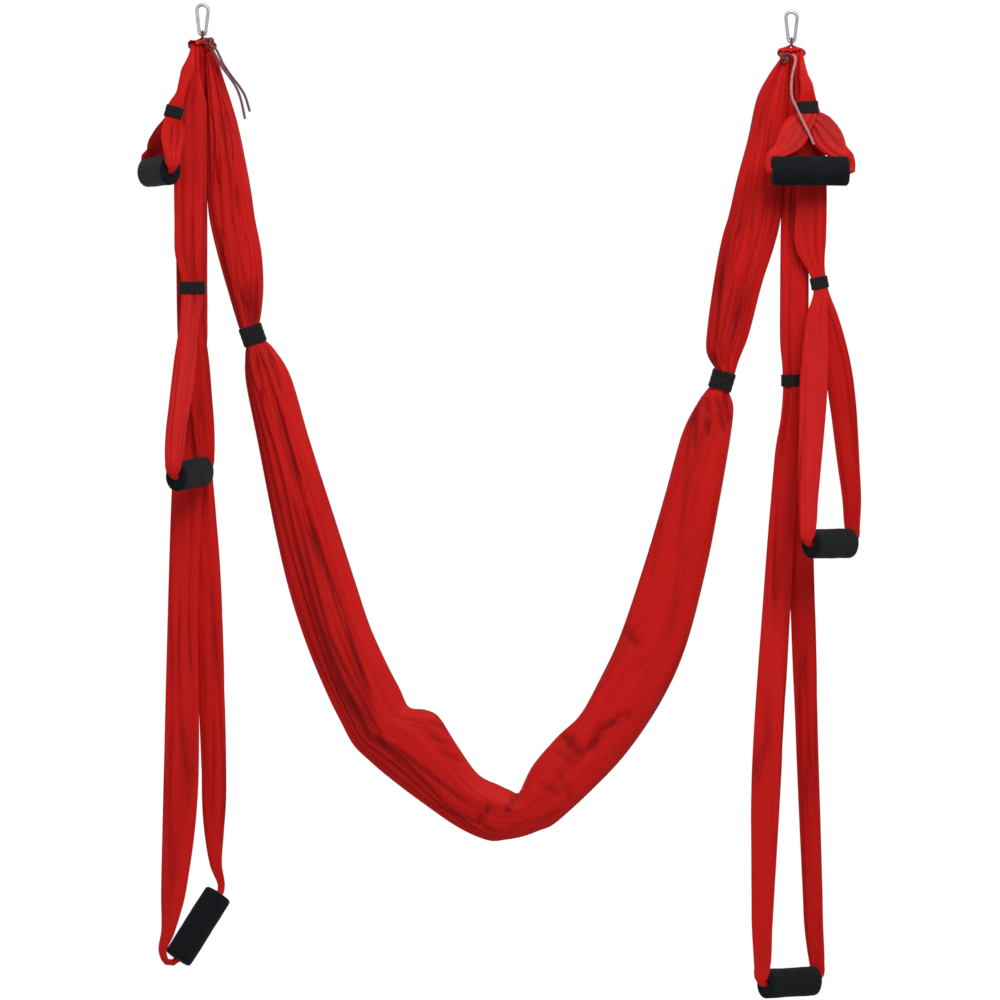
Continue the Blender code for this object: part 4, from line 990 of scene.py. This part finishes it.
def bandMesh(centre, axes, size, rows, thickness, seed):
    # axes and size go across, through and along the cloth that the band holds
    across, through, along = axes
    width, depth, height = size
    around, section = elastic["around"], elastic["section"]
    rowHeight = (height + elastic["overlap"] * (rows - 1)) / rows
    whole = bmesh.new()
    mesh = bpy.data.meshes.new("row")
    for row in range(rows):
        middle = -height / 2 + rowHeight / 2 + row * (rowHeight - elastic["overlap"])

        def spotAt(i, j):
            angle = 2 * math.pi * j / around
            c, s = math.cos(angle), math.sin(angle)
            turn = 2 * math.pi * (i + 0.5) / section
            rise = power(math.sin(turn), elastic["edge"]) * rowHeight / 2
            out = (0.5 + 0.5 * power(math.cos(turn), elastic["face"])) * thickness
            wave = wobble(c * 1.4 + seed, s * 1.4, row * 5.0)
            rise = rise * (1 - elastic["waver"] * wave) + elastic["sway"] * wave
            inset = thickness - out
            return (centre + across * (power(c, elastic["squareness"]) * (width / 2 - inset))
                    + through * (power(s, elastic["squareness"]) * (depth / 2 - inset))
                    + along * (middle + rise))

        def uvAt(i, j):
            return (i / section * rowHeight * 2, (width + depth) * 2 * j / around)

        part = shapedGrid(section, around, spotAt, uvAt, True, True)
        part.to_mesh(mesh)
        part.free()
        whole.from_mesh(mesh)
    bpy.data.meshes.remove(mesh)
    return whole


mainBands = dict(width=0.036, depth=0.026, rows=3, thickness=0.0020)
for side, pixels in (("left", leftBandPixels), ("right", rightBandPixels)):
    centre, across, along = bandFrame(pixels)
    size = (mainBands["width"], mainBands["depth"], hammock["bandHeight"])
    bm = bandMesh(centre, (across, yAxis, along), size, mainBands["rows"],
                  mainBands["thickness"], len(side))
    addPiece(side + "_main_elastic", bm, webbing, "sling", "webbing", [side + "_main_band"])
print("main bands made")


# Handle straps: side, place along the cord, and sizes, as the solids have them; settle is how
# far the top spreads inwards and outwards
straps = {
    "left_short": dict(
        side="left", slot=2, near="inner", settleDepth=-0.0198, upperInner=0.030,
        upperOuter=0.050, upperShares="left short", settle=(0.0, 0.009),
        bandDrop=0.0975, bandOffset=0.042, bandDepth=-0.0235, bandWidth=0.0276,
        endShares=(0.80, 0.52), flat=(0.08, 0.60), legWidth=0.038, nearShares="short near",
        farShares="short far", gripDrop=0.2482, gripOffset=0.0645, gripDepth=-0.026, turn=70.0,
        tilt=0.0),
    "left_mid": dict(
        side="left", slot=1, near="outer", settleDepth=-0.0063, upperInner=-0.0068,
        upperOuter=0.0427, upperShares="left trunk", settle=(0.0, 0.0), bandDrop=0.360,
        bandOffset=0.0150, bandDepth=-0.0075, bandWidth=0.0400, endShares=(0.83, 0.83),
        flat=(0.14, 1.45), legWidth=0.034, nearShares="mid near", farShares="mid far",
        gripDrop=0.7012, gripOffset=0.0165, gripDepth=-0.060, turn=70.0, tilt=4.0),
    "left_long": dict(
        side="left", slot=0, near="outer", settleDepth=0.0063, upperInner=-0.0068,
        upperOuter=0.0400, upperShares="left trunk", settle=(0.003, 0.0),
        bandDrop=0.498, bandOffset=0.0165, bandDepth=0.0165, bandWidth=0.0360,
        endShares=(0.56, 0.56), flat=(0.15, 2.81), legWidth=0.046, nearShares="left long near",
        farShares="left long far", gripDrop=1.3808, gripOffset=0.0075, gripDepth=0.027, turn=20.0,
        tilt=56.0),
    "right_short": dict(
        side="right", slot=2, near="inner", settleDepth=-0.0198, upperInner=0.012,
        upperOuter=0.036, upperShares="right short", settle=(0.0, 0.005),
        bandDrop=0.0800, bandOffset=0.0235, bandDepth=-0.0235, bandWidth=0.0320,
        endShares=(0.50, 0.40), flat=(0.09, 0.57), legWidth=0.044, nearShares="wide near",
        farShares="wide far", gripDrop=0.2378, gripOffset=0.0262, gripDepth=-0.048, turn=10.0,
        tilt=0.0),
    "right_mid": dict(
        side="right", slot=1, near="inner", settleDepth=-0.0063, upperInner=0.006,
        upperOuter=0.0525, upperShares="right trunk", settle=(0.0, 0.0), bandDrop=0.342,
        bandOffset=0.0416, bandDepth=-0.0075, bandWidth=0.0270, endShares=(0.80, 0.80),
        flat=(0.13, 1.63), legWidth=0.036, nearShares="right mid near",
        farShares="right mid far", gripDrop=0.7950, gripOffset=0.0570, gripDepth=-0.027,
        turn=57.0, tilt=0.0),
    "right_long": dict(
        side="right", slot=0, near="inner", settleDepth=0.0063, upperInner=-0.0171,
        upperOuter=0.0260, upperShares="right trunk", settle=(0.001, 0.0),
        bandDrop=0.488, bandOffset=0.0045, bandDepth=0.0075, bandWidth=0.0400,
        endShares=(0.77, 0.77), flat=(0.14, 2.94), legWidth=0.042, nearShares="right long near",
        farShares="right long far", gripDrop=1.4542, gripOffset=-0.0020, gripDepth=0.020,
        turn=48.0, tilt=0.0),
}

# down from the cord to the band: share of the drop, and of the way to the strap's inner and
# outer edge
upperShares = {
    "left short": [(0.45, 0.32, 0.50), (0.72, 0.72, 0.68)],
    "right short": [(0.45, 0.30, 0.60), (0.72, 0.70, 0.88)],
    "left trunk": [(0.12, 0.86, 0.46), (0.17, 0.94, 0.64), (0.28, 0.97, 0.92), (0.47, 1.0, 1.0),
        (0.71, 1.0, 1.0), (0.88, 1.0, 0.94)],
    "right trunk": [(0.12, 0.27, 0.44), (0.20, 0.40, 0.64), (0.33, 0.64, 0.86),
        (0.50, 0.94, 0.98), (0.72, 1.0, 1.0), (0.88, 1.0, 0.96)],
}
# down from the band to the grip: share of the drop, of the way sideways and in depth, and of
# the leg's width
legShares = {
    "short near": [(0.20, 0.10, 0.12, 0.80), (0.50, 0.45, 0.42, 1.0), (0.80, 0.85, 0.78, 0.80)],
    "short far": [(0.20, 0.12, 0.06, 0.80), (0.50, 0.32, 0.34, 1.0), (0.78, 0.51, 0.74, 1.15),
        (0.94, 0.76, 0.92, 0.75)],
    "wide near": [(0.17, 0.14, 0.14, 0.72), (0.45, 0.30, 0.42, 1.0), (0.74, 0.52, 0.76, 0.90),
        (0.93, 0.80, 0.92, 0.50)],
    "wide far": [(0.17, 0.15, 0.14, 0.74), (0.45, 0.34, 0.42, 1.0), (0.74, 0.57, 0.76, 1.0),
        (0.93, 0.80, 0.92, 0.60)],
    "mid near": [(0.10, 0.10, 0.04, 0.80), (0.45, 0.42, 0.36, 1.0), (0.85, 0.90, 0.82, 0.90)],
    "mid far": [(0.10, 0.05, 0.00, 0.80), (0.45, 0.42, 0.20, 1.0), (0.85, 0.88, 0.76, 0.90)],
    "right mid near": [(0.08, 0.12, 0.03, 0.80), (0.40, 0.48, 0.30, 1.2),
        (0.88, 0.98, 0.84, 0.85)],
    "right mid far": [(0.08, 0.14, 0.00, 0.80), (0.40, 0.62, 0.30, 1.15),
        (0.88, 0.98, 0.84, 0.80)],
    "left long near": [(0.06, 0.08, 0.00, 0.75), (0.18, 0.16, 0.00, 1.0), (0.38, 0.30, 0.05, 1.0),
        (0.70, 0.38, 0.40, 1.15), (0.88, 0.62, 0.78, 0.85), (0.96, 0.83, 0.93, 0.45)],
    "left long far": [(0.06, 0.08, 0.00, 0.75), (0.20, 0.26, 0.00, 0.90),
        (0.42, 0.55, 0.25, 0.90), (0.77, 0.74, 0.70, 0.84), (0.87, 0.75, 0.84, 0.69),
        (0.95, 0.82, 0.93, 0.40)],
    "right long near": [(0.05, 0.06, 0.00, 0.75), (0.13, 0.22, 0.00, 0.90),
        (0.36, 0.52, 0.16, 1.0), (0.67, 0.86, 0.55, 1.07), (0.93, 1.0, 0.88, 0.75)],
    "right long far": [(0.05, 0.08, 0.00, 0.75), (0.13, 0.18, 0.00, 0.85),
        (0.36, 0.34, 0.16, 0.90), (0.67, 0.60, 0.55, 0.80), (0.93, 0.85, 0.88, 0.70)],
}


def gripFrame(strap):
    # middle of the grip and the direction to its near end
    side = strap["side"]
    middle = place(side, strap["gripOffset"], strap["gripDepth"], strap["gripDrop"])
    turn, tilt = math.radians(strap["turn"]), math.radians(strap["tilt"])
    nearWay = 1.0 if strap["near"] == "outer" else -1.0
    toNear = Vector((outwardOf[side] * nearWay * math.cos(turn) * math.cos(tilt),
                     -math.sin(turn) * math.cos(tilt), -nearWay * math.sin(tilt)))
    return middle, toNear


def slotOffset(strap):
    start = -layout["cordBaseLength"] / 2 + touchGap + layout["sleeveLength"]
    pitch = layout["slotWidth"] + clothGap
    return start + clothGap + layout["slotWidth"] / 2 + strap["slot"] * pitch


bend = dict(across=0.40, steeper=1.2, handle=0.55, tops=(1.0, 1.3), spreads=(1.0, 1.45),
            legThicker=1.15)


def legEnd(strap, direction):
    # the mouth of the grip, and the place beside it where the strap turns in
    middle = gripFrame(strap)[0]
    mouth = middle + direction * (layout["gripLength"] / 2)
    lift = (zAxis - direction * direction.z).normalized()
    raised = min(max(1 - bend["steeper"] * direction.z, 0.0), 1.0)
    reach = layout["bendReach"] * (1 + bend["steeper"] * abs(direction.z))
    reach *= mix(bend["across"], 1.0, abs(direction.y))
    over = (layout["gripWidth"] / 2 + touchGap) * raised
    return mouth, mouth + direction * reach + lift * over


def settlePlace(strap, layer):
    # the depth at which a layer, -1 in front or 1 behind, comes down from the cord
    lean = math.hypot(strap["settleDepth"], layout["settleDrop"]) / layout["settleDrop"]
    return strap["settleDepth"] + layer * layerOffset * lean


def bandCentre(strap):
    return place(strap["side"], strap["bandOffset"], strap["bandDepth"],
                 baseDrop + strap["bandDrop"])


def upperRows(strap, layer):
    slot = slotOffset(strap)
    slotInner, slotOuter = slot - layout["slotWidth"] / 2, slot + layout["slotWidth"] / 2
    settleInner, settleOuter = strap["settle"]
    rows = []

    def add(inner, outer, depth, drop):
        spot = place(strap["side"], (inner + outer) / 2, depth, baseDrop + drop)
        rows.append([spot, (outer - inner) / 2, layout["layerThickness"] / 2])

    for share, spread in zip(bend["tops"], bend["spreads"]):
        add(slotInner - clothGap - settleInner * spread,
            slotOuter + clothGap + settleOuter * spread,
            settlePlace(strap, layer), layout["settleDrop"] * share)
    for fall, innerShare, outerShare in upperShares[strap["upperShares"]]:
        depth = mix(strap["settleDepth"], strap["bandDepth"], ease(fall * 1.25))
        add(mix(slotInner, strap["upperInner"], innerShare),
            mix(slotOuter, strap["upperOuter"], outerShare),
            depth + layer * layerOffset, strap["bandDrop"] * fall)
    return rows


def legRows(strap, layer):
    toNear = gripFrame(strap)[1]
    beside = legEnd(strap, toNear if layer < 0 else -toNear)[1]
    centre = bandCentre(strap)
    rows = []
    for fall, reach, depth, width in legShares[strap["nearShares" if layer < 0 else "farShares"]]:
        spot = Vector((mix(centre.x, beside.x, reach), mix(centre.y, beside.y, depth),
                       mix(centre.z, beside.z, fall)))
        spot += yAxis * (layer * layerOffset * (1 - depth))
        rows.append([spot, strap["legWidth"] / 2 * width,
                     layout["layerThickness"] / 2 * bend["legThicker"]])
    return rows


def strapBandAxes(strap):
    above = sum((upperRows(strap, layer)[-1][0] for layer in (-1, 1)), Vector()) / 2
    below = sum((legRows(strap, layer)[0][0] for layer in (-1, 1)), Vector()) / 2
    centre = bandCentre(strap)
    along = ((above - centre).normalized() + (centre - below).normalized()).normalized()
    across = squareTo(xAxis, along)
    through = along.cross(across)
    return across, through if through.y > 0 else -through, along


def evenly(rows):
    run = distances([row[0] for row in rows])[-1]
    return smoothRows(rows, max(4, round(run / layout["stationSpacing"]) + 1))


def halfStrap(strap, layer):
    # sections from the top of the cord to the inside of the grip: place, half width, half
    # depth, and the axis across; the last five have none yet
    side, thick = strap["side"], layout["layerThickness"] / 2
    bundle = layout["bundleDiameter"] / 2
    slot = slotOffset(strap)
    middle, toNear = gripFrame(strap)
    direction = toNear if layer < 0 else -toNear
    mouth, beside = legEnd(strap, direction)
    across, through, along = strapBandAxes(strap)
    sections = []
    aim = Vector((settlePlace(strap, layer) * layer, -layout["settleDrop"]))
    last = math.atan2(-aim.y, aim.x) + math.asin(bightRadius / aim.length)
    for step in range(5):
        angle = last * step / 4
        spot = place(side, slot, layer * bightRadius * math.sin(angle),
                     baseDrop - bightRadius * math.cos(angle))
        sections.append([spot, layout["slotWidth"] / 2 + clothGap * 0.8, thick, xAxis])
    bandHalf = strap["bandWidth"] / 2 - layout["bandThickness"] - clothGap
    edges = []
    for way in (1, -1):
        spot = bandCentre(strap) + through * (layer * layerOffset)
        edges.append([spot + along * (way * (layout["bandHeight"] / 2 + clothGap)),
                      bandHalf, thick])
    upper = upperRows(strap, layer)
    sections += [[*row, xAxis] for row in upper[:1]]
    sections += [[*row, xAxis] for row in evenly(upper[1:] + edges[:1])[:-1]]
    sections += [[*edge, across] for edge in edges]
    sections += [[*row, xAxis] for row in evenly(edges[1:] + legRows(strap, layer))[1:]]
    handle = (beside - mouth).length * bend["handle"]
    turnPoints = [beside, beside - zAxis * handle, mouth + direction * handle, mouth]
    lastHalf = legRows(strap, layer)[-1][1]
    endShare = strap["endShares"][0 if layer < 0 else 1]
    turning = min(endShare * 0.88, mix(0.50, 0.72, abs(direction.y)))
    for t, wide, deep in ((0.0, endShare, 0.9), (0.4, turning, 1.1), (0.75, 0.38, 1.5)):
        spot = sum((point * (math.comb(3, k) * t ** k * (1 - t) ** (3 - k))
                    for k, point in enumerate(turnPoints)), Vector())
        half = max(lastHalf * wide, bundle)
        sections.append([spot, half, min(thick * deep, bundle), None])
    for share in (0.0, 0.5):
        sections.append([mix(mouth, middle, share), bundle, bundle, None])
    return sections


# noise: how fine it is across and along the strap, and where it starts
ribbon = dict(
    folds=[-0.985, 0.985, -0.93, 0.95, -0.985], points=[36, 4, 4, 20], spacing=0.0075,
    squareness=2.6, wander=0.10, gather=0.045, narrow=0.012, width=0.15,
    noise=dict(soft=(1.5, 1.3, 0.0), fine=(5.5, 2.2, 0.0), crease=(1.5, 0.5, 40.0),
               tuck=(4.6, 1.4, 60.0), patch=(0.9, 1.1, 80.0)),
    heights=dict(all=0.0006, soft=0.0012, fine=0.0004, crease=0.0026, tuck=0.0013))


def strapSections(strap):
    # the whole loop: down the front, through the grip, up the back
    front, back = halfStrap(strap, -1), halfStrap(strap, 1)
    sections = front + back[:0:-1]
    heads = tangentsOf([section[0] for section in sections], closed=True)
    count = len(sections)
    for order in (range(len(front) - 5, len(front)), range(len(front) + 4, len(front) - 1, -1)):
        step = order.step
        for index in order:
            carried = sections[(index - step) % count][3]
            sections[index][3] = squareTo(carried, heads[index])
    for index in range(count):
        sections[index][3] = squareTo(sections[index][3], heads[index])
    # the cloth turns over inside the grip, where the foam hides it
    last, first = sections[len(front) - 1], sections[len(front)]
    axis = (first[0] - last[0]).normalized()
    start, goal = squareTo(last[3], axis), squareTo(first[3], axis)
    angle = math.atan2(start.cross(goal).dot(axis), start.dot(goal))
    steps = 6
    twisted = []
    for step in range(1, steps):
        share = step / steps
        turned = Matrix.Rotation(angle * share, 3, axis) @ start
        twisted.append([mix(last[0], first[0], share), last[1], last[2], turned])
    return sections[:len(front)] + twisted + sections[len(front):]


def strapMesh(name, strap):
    seed = sum(ord(letter) for letter in name) * 0.37
    rows = smoothLoop(strapSections(strap), ribbon["spacing"])
    columns = foldColumns(ribbon["points"])
    heads = tangentsOf([row[0] for row in rows], closed=True)
    travelled = distances([row[0] for row in rows], closed=True)
    total = travelled[-1]
    centre = bandCentre(strap)
    top = place(strap["side"], 0, 0, baseDrop)
    gathers = []
    for row in rows:
        near = min((row[0] - centre).length, (row[0] - top).length)
        gathers.append(math.exp(-(near / ribbon["gather"]) ** 2)
                       * ease(row[1] / ribbon["narrow"] - 0.6))
    foldRows = []
    for distance in travelled[:-1]:
        around = 2 * math.pi * distance / total
        turned = []
        for index, base in enumerate(ribbon["folds"]):
            drift = wobble(math.cos(around) * total * 1.1 + seed,
                           math.sin(around) * total * 1.1, index * 5.1)
            turned.append(max(min(base + drift * ribbon["wander"], 0.985), -0.985))
        foldRows.append(turned)

    paintedShadeOf = {}

    def spotAt(i, j):
        spot, halfWidth, halfDepth, across = rows[j]
        across = squareTo(across, heads[j])
        through = heads[j].cross(across)
        a, b, level = foldSpot(columns[i], foldRows[j], ribbon["squareness"])
        around = 2 * math.pi * travelled[j] / total
        ring = Vector((math.cos(around), math.sin(around))) * total
        wide = ease(halfWidth / ribbon["narrow"] - 0.6)
        soft, fine, crease, tuck, patch = (
            wobble(a * m + seed, ring.x * n, ring.y * n + start)
            for m, n, start in ribbon["noise"].values())
        patch = mix(0.3, 1.15, ease(0.5 + 1.7 * patch)) * wide
        lines = valley(crease, narrow=3.4, rounding=0.6) * (1 - 0.4 * gathers[j]) * patch
        tucks = valley(tuck, narrow=3.0, rounding=0.7) * (0.22 + 0.9 * gathers[j]) * patch
        high = ribbon["heights"]
        rise = (high["all"] + high["soft"] * soft + high["fine"] * fine) * wide
        rise = rise - high["crease"] * lines - high["tuck"] * tucks
        # painted shade in the strap's creases and tucks, and a little all over
        paintedShadeOf[i, j] = min(0.65 * lines + 0.6 * tucks + 0.04, 1.0)
        return spot + across * (a * halfWidth) + through * (b * halfDepth + rise * level)

    def uvAt(i, j):
        return (i * ribbon["width"] / (len(columns) - 1), travelled[j])

    return shapedGrid(len(columns) - 1, len(rows), spotAt, uvAt, closeRows=True,
                      paintedShadeAt=lambda i, j: paintedShadeOf[i, j])


for name, strap in straps.items():
    piece = addPiece(name + "_nylon", strapMesh(name, strap), nylon, name + "_strap", "nylon",
                     [name + "_strap"])
    depth = 2 * (layout["layerThickness"] + clothGap / 2 + layout["bandThickness"] + touchGap)
    size = (strap["bandWidth"], depth, layout["bandHeight"])
    bm = bandMesh(bandCentre(strap), strapBandAxes(strap), size, 2,
                  layout["bandThickness"] * 1.1, len(name) + strap["slot"])
    addPiece(name + "_elastic", bm, webbing, name + "_strap", "webbing", [name + "_band"])
print("straps made")


# Foam grips
gripShape = dict(edge=0.0045, edgeSteps=4, segments=56, rings=18, boreSides=16, dent=0.0007)


def gripMesh(strap):
    middle, toNear = gripFrame(strap)
    level = toNear.cross(zAxis).normalized()
    upright = level.cross(toNear).normalized()
    half, full, edge = layout["gripLength"] / 2, layout["gripThickness"] / 2, gripShape["edge"]
    bore = layout["bundleDiameter"] / 2 + touchGap
    bore /= math.cos(math.pi / gripShape["boreSides"])
    # radius and place along the grip, round its bore, one end, its outside and the other end
    steps = gripShape["rings"] + 1
    arc = [math.pi / 2 * k / gripShape["edgeSteps"] for k in range(gripShape["edgeSteps"] + 1)]
    section = [(bore, mix(-half, half, k / steps)) for k in range(steps + 1)]
    section += [(full - edge + edge * math.sin(a), half - edge + edge * math.cos(a)) for a in arc]
    section += [(full, mix(half - edge, edge - half, k / steps)) for k in range(1, steps)]
    section += [(full - edge + edge * math.cos(a), edge - half - edge * math.sin(a)) for a in arc]

    def spotAt(i, j):
        # the outside is oval, the bore round
        radius, along = section[i]
        angle = 2 * math.pi * j / gripShape["segments"]
        c, s = math.cos(angle), math.sin(angle)
        if radius == bore:
            return middle + (level * c + upright * s) * bore + toNear * along
        out = level * (full * c) + upright * (layout["gripWidth"] / 2 * s)
        out -= out.normalized() * (full - radius)
        spot = middle + out + toNear * along
        dent = noise.noise(spot * 26.0) + 0.5 * noise.noise(spot * 70.0)
        return spot + out.normalized() * (gripShape["dent"] * (dent - 0.5))

    def uvAt(i, j):
        return (i / len(section), j / gripShape["segments"])

    return shapedGrid(len(section), gripShape["segments"], spotAt, uvAt, True, True)


for name, strap in straps.items():
    addPiece(name + "_foam", gripMesh(strap), foam, name + "_grip", "foam", [name + "_grip"],
             sharpFrom=50)
print("grips made")


# Snap hooks keep their solids and get the plated finish
for name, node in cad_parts.items():
    if any(part in name for part in ("hook_body", "gate", "latch_pin")):
        node.data.materials.clear()
        node.data.materials.append(steel)


# Studio: pale floor far below, white to the camera, one large soft lamp and a fill
studio = dict(
    floorDrop=2.1, floorHalf=2.4, floorTones=((0.80, 0.80, 0.80), (0.86, 0.86, 0.86)),
    ambient=0.32, lampSize=2.4, key=(124.0, (1.5, -2.5, 2.1)), fill=(14.0, (-2.6, -2.8, -0.2)))

floorMesh = bpy.data.meshes.new("floor")
bm = bmesh.new()
bmesh.ops.create_grid(bm, x_segments=1, y_segments=1, size=studio["floorHalf"])
bmesh.ops.translate(bm, verts=bm.verts[:], vec=(view["centre"][0], 0.0, -studio["floorDrop"]))
bm.to_mesh(floorMesh)
bm.free()
floor = bpy.data.objects.new("floor", floorMesh)
link(floor)
floorFinish = Finish("pale floor", Roughness=0.9)
spot = floorFinish.node("TexCoord", output=3)
floorFinish.feed("Base_Color",
                 floorFinish.colours(floorFinish.noise(spot, 3.0), *studio["floorTones"]))
floorMesh.materials.append(floorFinish.material)

world = bpy.data.worlds.new("studio")
world.use_nodes = True
bpy.context.scene.world = world
tree = world.node_tree
light = tree.nodes.new("ShaderNodeLightPath")
seen = Wire(tree, light.outputs["Is Camera Ray"])
for kind in ("Is Glossy Ray", "Is Transmission Ray"):
    seen = seen.most(Wire(tree, light.outputs[kind]))
background = tree.nodes["Background"]
background.inputs["Color"].default_value = (1.0, 1.0, 1.0, 1.0)
join(tree, background.inputs["Strength"], seen * (1.0 - studio["ambient"]) + studio["ambient"])


def addLamp(name, aim):
    energy, spot = studio[name]
    lamp = bpy.data.lights.new(name, "AREA")
    lamp.shape = "DISK"
    lamp.size = studio["lampSize"]
    lamp.energy = energy
    made = bpy.data.objects.new(name, lamp)
    made.location = spot
    made.rotation_euler = (aim - Vector(spot)).to_track_quat("-Z", "Y").to_euler()
    link(made)


for name in ("key", "fill"):
    addLamp(name, Vector((view["centre"][0], 0.0, view["centre"][1])))
print("studio set")
